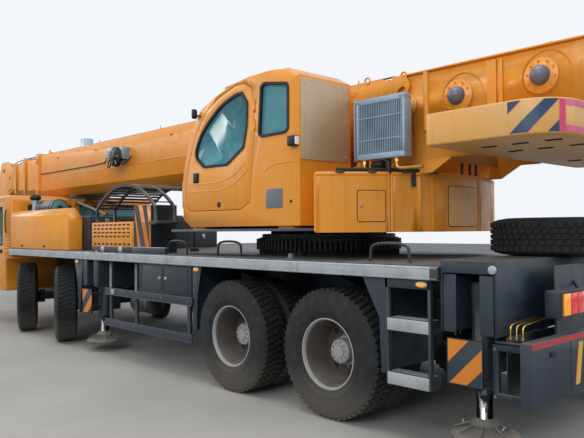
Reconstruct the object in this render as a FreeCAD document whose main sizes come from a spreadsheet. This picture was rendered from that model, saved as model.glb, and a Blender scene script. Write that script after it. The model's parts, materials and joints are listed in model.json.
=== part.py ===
import FreeCAD, Part
import Sketcher
import math
import os
from types import SimpleNamespace

# A four-axle truck crane with a telescopic boom, parked for the road.
# Millimetres. +X forward, +Y left, +Z up. Z = 0 is the ground and Y = 0 the centre line.
# Inside the sub-parts x is measured from the slewing centre; each finished piece is then
# moved by slew_place, so that X = 0 is the middle of the whole machine's length.

SIZES = [
    # overall
    ("tail_reach", 3320, "slewing centre to the rear of the counterweight"),
    ("tip_reach", 10080, "slewing centre to the boom tip"),
    # wheels and axles
    ("wheel_radius", 562.5, "ground to wheel centre"),
    ("tyre_width", 310, "widest part of a tyre"),
    ("tread_width", 236, "flat of the tread"),
    ("shoulder_radius", 470, "radius at which a tyre is widest"),
    ("bead_radius", 300, "tyre bore"),
    ("bead_width", 250, "tyre width at its bore"),
    ("rim_wall", 22, "wall of the rim barrel"),
    ("rim_disc", 24, "thickness of the wheel disc"),
    ("hub_radius", 115, "wheel hub"),
    ("hub_length", 150, "wheel hub along the axle"),
    ("fit_gap", 0.3, "gap between a moving piece and its seat"),
    ("axle_one", 5710, "first steered axle, ahead of the slewing centre"),
    ("axle_two", 4240, "second steered axle"),
    ("axle_three", 80, "first driven axle"),
    ("axle_four", -1270, "second driven axle"),
    ("steer_rest", -22, "wheels as parked, turned to the right"),
    ("kingpin_out", 1020, "centre line to kingpin"),
    ("wheel_offset", 210, "kingpin to wheel centre"),
    ("kingpin_radius", 60, "kingpin eye"),
    ("kingpin_high", 120, "height of the kingpin eye"),
    ("yoke_plate", 40, "thickness of a knuckle's arms"),
    ("stub_radius", 52, "stub axle"),
    ("twin_out", 1230, "centre line to outer twin wheel"),
    ("twin_pitch", 350, "distance between twin wheels"),
    ("axle_tube", 85, "radius of a driven axle's tube"),
    ("diff_radius", 215, "radius of a driven axle's gear housing"),
    # chassis
    ("frame_half", 460, "half the chassis frame's width"),
    ("frame_web", 80, "width of one front frame rail"),
    ("frame_low", 800, "underside of the frame"),
    ("frame_rear", -3040, "rear end of the frame"),
    ("frame_front", 7850, "front end of the frame rails below the road cab"),
    ("deck_top", 1360, "top of the deck"),
    ("deck_plate", 50, "thickness of the deck"),
    ("deck_front", 6150, "front edge of the deck"),
    ("rail_out", 1400, "outer face of the edge rails"),
    ("rail_wide", 30, "width of an edge rail"),
    ("rail_top", 1350, "top of the edge rails"),
    ("rail_deep", 100, "height of an edge rail"),
    ("ring_radius", 700, "slewing ring"),
    ("ring_top", 1590, "top of the slewing ring's base"),
    ("ring_rib", 130, "reach of the ribs round the slewing ring's base"),
    # outriggers
    ("box_front", 3180, "middle of the front outrigger box"),
    ("box_rear", -2655, "middle of the rear outrigger box"),
    ("box_half", 225, "half the length of an outrigger box"),
    ("box_wall", 20, "walls of an outrigger box"),
    ("box_low", 880, "underside of an outrigger box"),
    ("box_out", 1000, "centre line to the closed part of the box"),
    ("box_cap", 1405, "top of the rear box's cover"),
    ("beam_wide", 190, "outrigger beam"),
    ("beam_high", 250, "outrigger beam"),
    ("beam_gap", 10, "gap between the two beams and beside them"),
    ("beam_inner", 960, "reach of a beam past the centre line"),
    ("jack_out", 1150, "centre line to jack, drawn in"),
    ("jack_radius", 85, "jack tube"),
    ("jack_low", 480, "lower end of the jack tube"),
    ("jack_top", 1235, "upper end of the jack tube"),
    ("jack_rod", 60, "jack rod"),
    ("float_radius", 240, "jack float"),
    ("float_low", 120, "underside of a float"),
    ("float_high", 80, "height of a float"),
    ("panel_low", 525, "lower edge of an outrigger end panel"),
    ("panel_top", 858, "upper edge of an outrigger end panel"),
    ("panel_half", 145, "half the width of an outrigger end panel"),
    ("panel_out", 1402, "inner face of an outrigger end panel"),
    ("panel_plate", 12, "thickness of an outrigger end panel"),
    # road cab
    ("cab_rear", 6180, "rear wall of the road cab"),
    ("cab_front", 8030, "front face of the road cab"),
    ("cab_half", 1350, "half the road cab's width"),
    ("cab_roof", 2270, "roof of the road cab"),
    ("cab_floor", 620, "underside of the road cab ahead of the wheel"),
    ("cab_step", 1180, "underside of the road cab over the wheel"),
    ("cab_arch", 6420, "front edge of the wheel space"),
    ("cab_wall", 50, "walls of the road cab"),
    ("cab_sill", 1400, "lower edge of the road cab's windows"),
    ("door_gap", 6, "gap round a door"),
    ("hinge_radius", 13, "door hinge barrels"),
    ("hinge_high", 60, "door hinge barrels"),
    ("glass_plate", 8, "window glass"),
    # engine and deck gear
    ("engine_rear", 3950, "rear end of the engine"),
    ("engine_front", 5350, "front end of the engine"),
    ("engine_low", 780, "underside of the engine"),
    ("engine_top", 1720, "top of the engine"),
    ("cover_rear", 3680, "rear end of the engine cover"),
    ("cover_front", 5880, "front end of the engine cover"),
    ("cover_top", 1860, "top of the engine cover"),
    ("cover_half", 1140, "half the engine cover's width"),
    ("cover_wall", 20, "walls of the covers"),
    ("hood_rear", 3880, "rear end of the side hood"),
    ("hood_top", 1980, "top of the side hood"),
    ("hood_in", 1145, "inner side of the side hood"),
    ("rest_rear", 5940, "rear face of the boom rest"),
    ("rest_long", 130, "length of the boom rest"),
    ("rest_half", 360, "half the boom rest's width"),
    ("cage_rear", 1570, "rear foot of the guard cage"),
    ("cage_front", 3090, "front foot of the guard cage"),
    ("cage_foot", 1750, "feet of the guard cage"),
    ("cage_spring", 1930, "where the cage's arch begins"),
    ("cage_top", 2235, "top of the guard cage"),
    ("cage_in", 1040, "inner hoop of the guard cage"),
    ("cage_out", 1330, "outer face of the guard cage"),
    ("cage_bar", 30, "flat bars of the guard cage"),
    # tail
    ("tail_plate", 80, "thickness of the tail bumper"),
    ("tail_rear", -3120, "rear face of the tail bumper"),
    ("tail_half", 1363, "half the tail bumper's width"),
    ("tow_eye", 27, "radius of the rear towing eye"),
    ("tow_high", 640, "underside of the towing eye's plate"),
    ("tow_plate", 40, "thickness of the towing eye's plate"),
    ("spare_place", -2700, "centre of the spare wheel"),
    ("spare_low", 1405.3, "underside of the spare wheel"),
    # turntable
    ("plate_half", 605, "outer faces of the turntable's side plates"),
    ("side_plate", 30, "thickness of the turntable's side plates"),
    ("floor_low", 1620, "underside of the turntable floor"),
    ("floor_plate", 25, "thickness of the turntable floor"),
    ("skirt_radius", 1820, "outer face of the round hoods behind the crane cab"),
    ("skirt_inner", 1450, "inner face of the round hoods"),
    ("skirt_plate", 20, "plates of the round hoods"),
    ("skirt_low", 1605, "lower edge of the round hoods"),
    ("skirt_top", 2130, "top of the round hoods"),
    ("weight_half", 1350, "half the counterweight's width"),
    ("weight_low", 2250, "underside of the counterweight"),
    ("weight_top", 2490, "top of the counterweight"),
    ("weight_round", 300, "rear corners of the counterweight"),
    ("drum_main_high", 2750, "height of the main winch drum"),
    ("drum_second_high", 2790, "height of the second winch drum"),
    ("drum_radius", 200, "winch drum with its rope"),
    ("flange_radius", 255, "winch drum flanges"),
    ("cooler_front", -1260, "front edge of the oil cooler"),
    ("cooler_rear", -1810, "rear edge of the oil cooler"),
    ("cooler_out", 950, "outer face of the oil cooler"),
    ("cooler_deep", 110, "depth of the oil cooler"),
    ("cooler_low", 2250, "underside of the oil cooler"),
    ("cooler_top", 2800, "top of the oil cooler"),
    # crane cab
    ("room_out", 1330, "outer face of the crane cab"),
    ("room_in", 640, "inner face of the crane cab"),
    ("room_wall", 45, "walls of the crane cab"),
    ("room_low", 1670, "underside of the crane cab"),
    # boom
    ("pivot_high", 2750, "height of the boom pivot"),
    ("pivot_pin", 60, "radius of the boom pivot pin"),
    ("boom_half", 420, "half the base section's width"),
    ("boom_low", 2290, "underside of the base section"),
    ("boom_high", 810, "height of the base section"),
    ("boom_step", 40, "a section is this much smaller on each side than the one outside it"),
    ("boom_wall", 10, "plates of the boom sections"),
    ("boom_bend", 130, "lower corners of the sections"),
    ("reel_place", 4150, "cable reel on the left of the base section"),
    ("reel_high", 2800, "height of the cable reel"),
    ("collar_long", 100, "collar at the front of a section"),
    ("collar_proud", 40, "collar outside its section"),
    ("base_front", 7350, "front end of the base section"),
    ("first_front", 8130, "front end of the first sliding section"),
    ("second_front", 8730, "front end of the second sliding section"),
    ("third_front", 9250, "front end of the third sliding section"),
    ("section_rear", -900, "rear end of the first sliding section"),
    ("section_stagger", 200, "each next section begins this much further forward"),
    ("pad_long", 80, "slide pads"),
    ("sheave_radius", 190, "boom head sheaves"),
    ("sheave_place", 9850, "axle of the lower head sheaves"),
    ("sheave_high", 2270, "height of the lower head sheaves, low enough for the ropes to pass the boom"),
    ("hook_drop", 620, "lower head sheaves' axle to the hook block"),
    ("hook_radius", 135, "outer radius of the hook"),
    ("hook_throat", 75, "inner radius of the hook"),
    ("rope_radius", 10, "hoist rope"),
    # lift cylinder
    ("lift_foot_high", 1800, "height of the lower pin"),
    ("lift_eye", 1600, "upper pin of the lift cylinder"),
    ("lift_eye_high", 2200, "height of the upper pin"),
    ("lift_radius", 125, "lift cylinder barrel"),
    ("lift_rod", 65, "lift cylinder rod"),
    ("lift_pin", 50, "lower pin"),
    ("eye_radius", 75, "rod eye"),
    ("eye_half", 70, "half the rod eye's width"),
]

WHEEL_SIDES = 20

doc = FreeCAD.newDocument("MobileCrane")
sheet = doc.addObject("Spreadsheet::Sheet", "Sizes")


class Size:
    """A length with its value and the formula that the document keeps for it."""

    def __init__(self, value, text):
        self.value = float(value)
        self.text = text

    def __add__(self, other):
        other = as_size(other)
        return Size(self.value + other.value, "(%s + %s)" % (self.text, other.text))

    def __sub__(self, other):
        other = as_size(other)
        return Size(self.value - other.value, "(%s - %s)" % (self.text, other.text))

    def __mul__(self, factor):
        factor = as_size(factor)
        return Size(self.value * factor.value, "(%s * %s)" % (self.text, factor.text))

    def __truediv__(self, factor):
        factor = as_size(factor)
        return Size(self.value / factor.value, "(%s / %s)" % (self.text, factor.text))

    def __neg__(self):
        return Size(-self.value, "(0 - %s)" % self.text)

    __radd__ = __add__
    __rmul__ = __mul__

    def __rsub__(self, other):
        return as_size(other) - self


def as_size(thing):
    if isinstance(thing, Size):
        return thing
    return Size(thing, repr(float(thing)))


def fill_sheet():
    """Write each named size into the sheet and return the sizes by name."""
    found = {}
    for row, (name, value, note) in enumerate(SIZES, start=1):
        sheet.set("A%d" % row, note)
        sheet.set("B%d" % row, str(value))
        sheet.setAlias("B%d" % row, name)
        found[name] = Size(value, "Sizes." + name)
    doc.recompute()
    return SimpleNamespace(**found)


s = fill_sheet()
# places behind the slewing centre, as shares of the tail's reach
s.weight_front = -s.tail_reach * 0.684
s.drum_main = -s.tail_reach * 0.6446
s.drum_second = -s.tail_reach * 0.8645
s.pivot_place = -s.tail_reach * 0.488
s.lift_foot = -s.tail_reach * 0.3223
s.boom_top = s.boom_low + s.boom_high
slew_place = (s.tail_reach - s.tip_reach) / 2
deck_low = s.deck_top - s.deck_plate
rail_in = s.rail_out - s.rail_wide
zero = as_size(0)
nodes = []

SIDE = FreeCAD.Rotation(FreeCAD.Vector(1, 0, 0), 90)
FRONT = FreeCAD.Rotation(FreeCAD.Vector(1, 1, 1), 120)
PLAN = FreeCAD.Rotation()
ALONG = {
    "x": FreeCAD.Rotation(FreeCAD.Vector(0, 1, 0), 90),
    "y": FreeCAD.Rotation(FreeCAD.Vector(1, 0, 0), -90),
    "z": FreeCAD.Rotation(),
}


def bind(thing, path, size):
    thing.setExpression(path, as_size(size).text)


def place(thing, base, rotation=None):
    """Bind a thing's place to the sheet."""
    if rotation is not None:
        thing.Placement.Rotation = rotation
    for axis, size in zip("xyz", base):
        bind(thing, ".Placement.Base." + axis, size)


def box(low, high):
    """A block between two corners."""
    block = doc.addObject("Part::Box", "Block")
    for path, near, far in zip(("Length", "Width", "Height"), low, high):
        bind(block, path, as_size(far) - as_size(near))
    place(block, low)
    return block


def rod(axis, start, radius, length):
    """A round bar along an axis, from the middle of its low end."""
    bar = doc.addObject("Part::Cylinder", "Bar")
    bind(bar, "Radius", radius)
    bind(bar, "Height", length)
    place(bar, start, ALONG[axis])
    return bar


def arc_between(near, far, radius):
    """The arc from near to far: it bulges left of the way for a plus radius."""
    bend = math.copysign(1.0, radius)
    middle = (near + far) * 0.5
    chord = far - near
    left = FreeCAD.Vector(-chord.y, chord.x, 0).normalize()
    rise = math.sqrt(max(radius * radius - chord.Length ** 2 / 4.0, 0.0))
    top = middle + left * (bend * (abs(radius) - rise))
    return Part.Arc(near, top, far)


def outline(corners):
    """A closed sketch. A corner is (across, up) or (across, up, radius of the arc to the next)."""
    sketch = doc.addObject("Sketcher::SketchObject", "Outline")
    points = [FreeCAD.Vector(as_size(c[0]).value, as_size(c[1]).value, 0) for c in corners]
    ends = []
    radii = []
    for index, corner in enumerate(corners):
        near, far = points[index], points[(index + 1) % len(points)]
        if len(corner) == 2:
            sketch.addGeometry(Part.LineSegment(near, far))
            ends.append((1, 2))
            continue
        radius = as_size(corner[2])
        sketch.addGeometry(arc_between(near, far, radius.value))
        ends.append((2, 1) if radius.value > 0 else (1, 2))
        radii.append((index, radius if radius.value > 0 else -radius))
    for index in range(len(corners)):
        after = (index + 1) % len(corners)
        sketch.addConstraint(Sketcher.Constraint(
            "Coincident", index, ends[index][1], after, ends[after][0]))
    for index, corner in enumerate(corners):
        start = ends[index][0]
        for kind, size in (("DistanceX", corner[0]), ("DistanceY", corner[1])):
            size = as_size(size)
            number = sketch.addConstraint(Sketcher.Constraint(
                kind, -1, 1, index, start, size.value))
            sketch.setExpression("Constraints[%d]" % number, size.text)
    for index, radius in radii:
        number = sketch.addConstraint(Sketcher.Constraint("Radius", index, radius.value))
        sketch.setExpression("Constraints[%d]" % number, radius.text)
    return sketch


def slab(view, corners, low, high):
    """An outline in a view, as thick as from low to high across that view."""
    sketch = outline(corners)
    low, high = as_size(low), as_size(high)
    if view is SIDE:
        place(sketch, (zero, high, zero), SIDE)
    elif view is FRONT:
        place(sketch, (low, zero, zero), FRONT)
    else:
        place(sketch, (zero, zero, low), PLAN)
    solid = doc.addObject("Part::Extrusion", "Slab")
    solid.Base = sketch
    solid.DirMode = "Normal"
    solid.Solid = True
    bind(solid, "LengthFwd", high - low)
    return solid


def fused(parts):
    if len(parts) == 1:
        return parts[0]
    whole = doc.addObject("Part::MultiFuse", "Joined")
    whole.Shapes = list(parts)
    whole.Refine = True
    return whole


def cut(base, tools):
    rest = doc.addObject("Part::Cut", "Opened")
    rest.Base = base
    rest.Tool = fused(tools)
    return rest


def common(one, other):
    shared = doc.addObject("Part::Common", "Shared")
    shared.Base = one
    shared.Tool = other
    return shared


def node(name, parts, base=None, turn=None):
    """A finished piece: its parts together, moved from the slewing centre's frame."""
    whole = doc.addObject("Part::Compound", "Piece")
    whole.Label = name
    whole.Links = list(parts)
    if base is None:
        base = (slew_place, zero, zero)
    place(whole, base)
    if turn is not None:
        whole.Placement.Rotation = FreeCAD.Rotation(FreeCAD.Vector(0, 0, 1), turn.value)
        bind(whole, ".Placement.Rotation.Angle", turn)
        whole.Placement.Rotation.Axis = FreeCAD.Vector(0, 0, 1)
    nodes.append(whole)
    return whole


def span(side, inner, outer):
    """The low and high of a stretch from inner to outer on one side of the centre line."""
    inner, outer = as_size(inner), as_size(outer)
    return (inner, outer) if side > 0 else (-outer, -inner)


def side_box(side, along, across, up):
    low, high = span(side, *across)
    return box((along[0], low, up[0]), (along[1], high, up[1]))


def mid_box(along, half, up):
    return box((along[0], -as_size(half), up[0]), (along[1], half, up[1]))


SIDES = (("left", 1), ("right", -1))


def ring_solid(rings, hollow=False, sides=WHEEL_SIDES, axis="y"):
    """A many-sided solid, flat side down, through rings (half its width over flats, place along it)."""
    solid = doc.addObject("Part::Feature", "Rings")
    half_turn = math.pi / sides
    angles = [half_turn * (2 * k + 1) for k in range(sides)]
    loops = []
    for flat, away in rings:
        radius, away = as_size(flat).value / math.cos(half_turn), as_size(away).value
        across, up = [radius * math.sin(a) for a in angles], [-radius * math.cos(a) for a in angles]
        if axis == "y":
            loops.append([FreeCAD.Vector(x, away, z) for x, z in zip(across, up)])
        else:
            loops.append([FreeCAD.Vector(x, -y, away) for x, y in zip(across, up)])
    faces = []
    count = len(loops) if hollow else len(loops) - 1
    for index in range(count):
        near, far = loops[index], loops[(index + 1) % len(loops)]
        for k in range(sides):
            after = (k + 1) % sides
            corners = [near[k], near[after], far[after], far[k], near[k]]
            faces.append(Part.Face(Part.makePolygon(corners)))
    if not hollow:
        faces += [Part.Face(Part.makePolygon(loop + loop[:1])) for loop in (loops[0], loops[-1])]
    shape = Part.Solid(Part.Shell(faces))
    solid.Shape = shape if shape.Volume > 0 else shape.reversed()
    return solid


def tyre(centre):
    """One tyre about a centre along the axle."""
    half, tread, bead = s.tyre_width / 2, s.tread_width / 2, s.bead_width / 2
    profile = ((s.bead_radius, -bead), (s.shoulder_radius, -half), (s.wheel_radius, -tread),
               (s.wheel_radius, tread), (s.shoulder_radius, half), (s.bead_radius, bead))
    return ring_solid([(radius, centre + across) for radius, across in profile], True)


def rim(centres, disc):
    """A rim under its tyres: barrel, disc and hub in one profile that ends flat at both hub faces."""
    bead = s.bead_width / 2 + 8
    outer = s.bead_radius - s.fit_gap
    inner = outer - s.rim_wall
    low = min(centres, key=lambda c: c.value) - bead
    high = max(centres, key=lambda c: c.value) + bead
    near, far = disc - s.rim_disc / 2, disc + s.rim_disc / 2
    face = s.hub_length / 2
    profile = ((s.hub_radius, disc - face), (s.hub_radius, near), (inner, near), (inner, low),
               (outer, low), (outer, high), (inner, high), (inner, far), (s.hub_radius, far),
               (s.hub_radius, disc + face))
    return ring_solid(profile, False)


def knuckle(side, face):
    """A steering knuckle about its kingpin: two arms, a web and the stub axle."""
    eye, web = s.kingpin_high / 2, s.kingpin_radius + 8
    arm_low = eye + s.fit_gap
    reach = web + s.yoke_plate * 0.7
    parts = [side_box(side, (-s.kingpin_radius, s.kingpin_radius), (web, reach),
                      (-arm_low - s.yoke_plate, arm_low + s.yoke_plate))]
    wide, tip = s.kingpin_radius, s.kingpin_radius / 2
    arm = [(-wide, reach * side), (-wide, -tip * side), (-tip, -wide * side), (tip, -wide * side),
           (wide, -tip * side), (wide, reach * side)]
    for low in (arm_low, -arm_low - s.yoke_plate):
        parts.append(slab(PLAN, arm, low, low + s.yoke_plate))
    low, high = span(side, reach - 5, face)
    parts.append(rod("y", (zero, low, zero), s.stub_radius, high - low))
    return fused(parts)


def make_wheels():
    """Single wheels on knuckles at the two front axles, twin wheels at the two rear ones."""
    for number, along in ((1, s.axle_one), (2, s.axle_two)):
        for word, side in SIDES:
            centre = s.wheel_offset * side
            disc = centre + as_size(20 * side)
            base = (slew_place + along, s.kingpin_out * side, s.wheel_radius)
            name = "_%d_%s" % (number, word)
            node("tyre" + name, [tyre(centre)], base, s.steer_rest)
            node("rim" + name, [rim([centre], disc)], base, s.steer_rest)
            face = s.wheel_offset + 20 - s.hub_length / 2 - s.fit_gap
            node("knuckle" + name, [knuckle(side, face)], base, s.steer_rest)
    for number, along in ((3, s.axle_three), (4, s.axle_four)):
        for word, side in SIDES:
            outer, inner = s.twin_out * side, (s.twin_out - s.twin_pitch) * side
            disc = (s.twin_out - s.twin_pitch / 2) * side
            base = (slew_place + along, zero, s.wheel_radius)
            name = "_%d_%s" % (number, word)
            tyres = [tyre(outer), tyre(inner)]
            node("tyre" + name, tyres, base)
            node("rim" + name, [rim([outer, inner], disc)], base)


def make_axles():
    """Two steered beams with kingpin eyes, and two driven axles with gear housings."""
    parts = []
    web_in = s.frame_half - s.frame_web
    for along in (s.axle_one, s.axle_two):
        eye = s.kingpin_high / 2
        beam_half = s.kingpin_out - s.kingpin_radius / 2
        pieces = [mid_box((along - s.kingpin_radius, along + s.kingpin_radius), beam_half,
                          (s.wheel_radius - eye, s.wheel_radius + eye))]
        for word, side in SIDES:
            pieces.append(rod("z", (along, s.kingpin_out * side, s.wheel_radius - eye),
                              s.kingpin_radius, s.kingpin_high))
            pieces.append(side_box(side, (along - 45, along + 45), (web_in + 5, s.frame_half - 5),
                                   (s.wheel_radius, s.frame_low + 50 - s.fit_gap)))
        parts.append(fused(pieces))
    face = s.twin_out - s.twin_pitch / 2 - s.hub_length / 2 - s.fit_gap
    for along in (s.axle_three, s.axle_four):
        round_part = s.diff_radius
        seat = face - 60
        half = [(s.axle_tube, seat), (s.axle_tube, round_part), (round_part * 0.6, round_part),
                (round_part, round_part * 0.25)]
        housing = ring_solid([(flat, -across) for flat, across in half]
                             + [(flat, across) for flat, across in reversed(half)], sides=12)
        place(housing, (along, zero, s.wheel_radius))
        pieces = [housing, rod("y", (along, -face, s.wheel_radius), s.stub_radius, face * 2)]
        for word, side in SIDES:
            pieces.append(side_box(side, (along - 60, along + 60), (s.frame_half - 110, s.frame_half - 20),
                                   (s.wheel_radius, s.frame_low - s.fit_gap)))
        parts.append(fused(pieces))
    node("axles", parts)


def make_chassis():
    """The frame's box and front rails, the deck on them and the slewing ring's base."""
    front_box = (s.box_front - s.box_half, s.box_front + s.box_half)
    rear_box = (s.box_rear - s.box_half, s.box_rear + s.box_half)
    web_in = s.frame_half - s.frame_web
    parts = [mid_box((rear_box[1], front_box[0]), s.frame_half, (s.frame_low, deck_low))]
    tail = mid_box((s.frame_rear, rear_box[0]), s.frame_half, (s.frame_low, deck_low))
    leg_rear, leg_front = s.cab_rear - 120, s.cab_arch - 10
    sill_low, sill_top = s.cab_floor - 100, s.cab_floor - s.fit_gap
    for word, side in SIDES:
        across = (web_in, s.frame_half)
        parts.append(side_box(side, (front_box[1], s.cab_rear - 10), across, (s.frame_low + 50, deck_low)))
        parts.append(side_box(side, (leg_rear, leg_front), across, (sill_low, s.cab_step - s.fit_gap)))
        parts.append(side_box(side, (leg_front - 80, s.frame_front), across, (sill_low, sill_top)))
    for along in (front_box[1], s.engine_front + 400):
        parts.append(mid_box((along, along + 80), web_in, (s.frame_low + 60, s.frame_low + 300)))
    parts.append(mid_box((s.frame_front - 80, s.frame_front), web_in, (sill_low, sill_top)))
    deck = cut(mid_box((rear_box[1], s.deck_front), rail_in, (deck_low, s.deck_top)),
               [mid_box((s.engine_rear - 10, s.engine_front + 10), web_in,
                        (deck_low - 10, s.deck_top + 10))])
    parts.append(deck)
    ring_base = rod("z", (zero, zero, s.deck_top), s.ring_radius, s.ring_top - s.deck_top)
    parts.append(ring_base)
    for index in range(8):
        angle = math.radians(22.5 + 45 * index)
        away = (math.cos(angle), math.sin(angle))
        rib = box((-15, s.ring_radius - 60, s.deck_top),
                  (15, s.ring_radius + s.ring_rib, s.ring_top - 60))
        turned = doc.addObject("Part::Compound", "Rib")
        turned.Links = [rib]
        turned.Placement.Rotation = FreeCAD.Rotation(FreeCAD.Vector(0, 0, 1), math.degrees(
            math.atan2(away[1], away[0])) - 90)
        parts.append(turned)
    node("chassis_frame", [fused(parts), tail])
    rails = [side_box(side, (rear_box[1], s.deck_front), (rail_in, s.rail_out),
                      (s.rail_top - s.rail_deep, s.rail_top)) for word, side in SIDES]
    node("edge_rails", rails)


def outrigger_box(middle, top):
    """A box across the chassis with a channel for two beams, and plates beside each jack."""
    rear, front = middle - s.box_half, middle + s.box_half
    pieces = [mid_box((rear, front), s.box_out, (s.box_low, deck_low))]
    plate_out = rail_in - s.fit_gap
    for word, side in SIDES:
        for low, high in ((rear, rear + s.box_wall), (front - s.box_wall, front)):
            pieces.append(side_box(side, (low, high), (s.box_out, plate_out), (s.box_low, deck_low)))
    if top is not None:
        pieces.append(mid_box((rear, front), plate_out, (deck_low, top)))
    channel_low = s.box_low + s.box_wall - s.fit_gap
    channel = mid_box((rear + s.box_wall, front - s.box_wall), s.box_out + 10,
                      (channel_low, channel_low + s.beam_high + s.beam_gap))
    return cut(fused(pieces), [channel])


JACK_SIDES = 12


def outrigger_beam(middle, side):
    """One beam with the jack tube at its end, and the panel that closes the side."""
    low = s.box_low + s.box_wall
    near, far = s.beam_gap / 2, s.beam_gap / 2 + s.beam_wide
    along = (middle + near, middle + far) if side > 0 else (middle - far, middle - near)
    head_in = s.jack_out - s.jack_radius - 20
    pieces = [side_box(side, along, (-s.beam_inner, head_in), (low, low + s.beam_high))]
    head = (middle - s.jack_radius - 25, along[1]) if side > 0 else (along[0], middle + s.jack_radius + 25)
    pieces.append(side_box(side, head, (head_in, s.jack_out), (low, low + s.beam_high)))
    centre = (middle, s.jack_out * side, zero)
    tube_part = ring_solid([(s.jack_radius, s.jack_low), (s.jack_radius, s.jack_top)],
                           sides=JACK_SIDES, axis="z")
    place(tube_part, centre)
    pieces.append(tube_part)
    pieces.append(side_box(side, (middle - s.panel_half, middle + s.panel_half),
                           (s.panel_out, s.panel_out + s.panel_plate), (s.panel_low, s.panel_top)))
    for level in (s.panel_low + 60, s.panel_top - 100):
        pieces.append(side_box(side, (middle - 30, middle + 30), (s.jack_out + 20, s.panel_out + 5),
                               (level, level + 40)))
    bore = ring_solid([(s.jack_rod + s.fit_gap, s.jack_low - 10), (s.jack_rod + s.fit_gap, s.jack_top - 30)],
                      sides=JACK_SIDES, axis="z")
    place(bore, centre)
    return cut(fused(pieces), [bore])


def outrigger_jack(middle, side):
    """The jack rod with its float."""
    float_top = s.float_low + s.float_high
    jack = ring_solid([(s.float_radius, s.float_low), (s.float_radius, s.float_low + s.float_high * 0.35),
                       (s.jack_rod + 30, float_top), (s.jack_rod, float_top),
                       (s.jack_rod, s.jack_top - 60)], sides=JACK_SIDES, axis="z")
    place(jack, (middle, s.jack_out * side, zero))
    return jack


def make_outriggers():
    node("outrigger_boxes", [outrigger_box(s.box_front, None), outrigger_box(s.box_rear, s.box_cap)])
    for end, middle in (("front", s.box_front), ("rear", s.box_rear)):
        for word, side in SIDES:
            node("outrigger_beam_%s_%s" % (end, word), [outrigger_beam(middle, side)])
            node("outrigger_jack_%s_%s" % (end, word), [outrigger_jack(middle, side)])


def hinge_barrels(along, out, levels):
    """Door hinges: barrels of the leaf, barrels of the frame, and the room each needs in the other."""
    leaf, frame, leaf_room, frame_room = [], [], [], []
    radius, high = s.hinge_radius, s.hinge_high
    for level in levels:
        leaf.append(rod("z", (along, out, level), radius, high))
        frame_room.append(rod("z", (along, out, level - s.fit_gap), radius + 3, high + s.fit_gap * 2))
        start = level + high + s.fit_gap
        frame.append(rod("z", (along, out, start), radius, high))
        leaf_room.append(rod("z", (along, out, start - s.fit_gap), radius + 3, high + s.fit_gap * 2))
    return leaf, frame, leaf_room, frame_room


def road_cab_outline(inset):
    """The road cab seen from the left, drawn in by an inset."""
    corners = (
        # along, up, inset along, inset up
        (s.cab_rear, s.cab_step, 1, 1), (s.cab_rear, s.cab_roof - 60, 1, -0.6),
        (s.cab_rear + 90, s.cab_roof, 0.6, -1), (s.cab_front - 640, s.cab_roof, -0.6, -1),
        (s.cab_front - 90, s.cab_sill, -1.1, 0), (s.cab_front, s.cab_sill - 160, -1, 0),
        (s.cab_front, s.cab_floor + 120, -1, 0.5), (s.cab_front - 120, s.cab_floor, -0.5, 1),
        (s.cab_arch, s.cab_floor, 1, 1), (s.cab_arch, s.cab_step, 1, 1))
    return [(along + as_size(inset) * right, up + as_size(inset) * rise)
            for along, up, right, rise in corners]


def road_door_outline(grow):
    """A road cab door seen from the side."""
    rear, front = s.cab_arch + 90, s.cab_front - 330
    low, top = s.cab_floor + 60, s.cab_roof - 110
    return [(rear - grow, low - grow), (front + grow, low - grow), (front + grow, s.cab_sill + 40),
            (front - 330 + grow, top + grow), (rear - grow, top + grow)]


def road_window_outline(inset):
    """The window in a road cab door."""
    rear, front = s.cab_arch + 170, s.cab_front - 400
    low, top = s.cab_sill, s.cab_roof - 190
    return [(rear + inset, low + inset), (front - inset, low + inset), (front - inset, low + 60),
            (front - 290 - inset, top - inset), (rear + inset, top - inset)]


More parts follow.
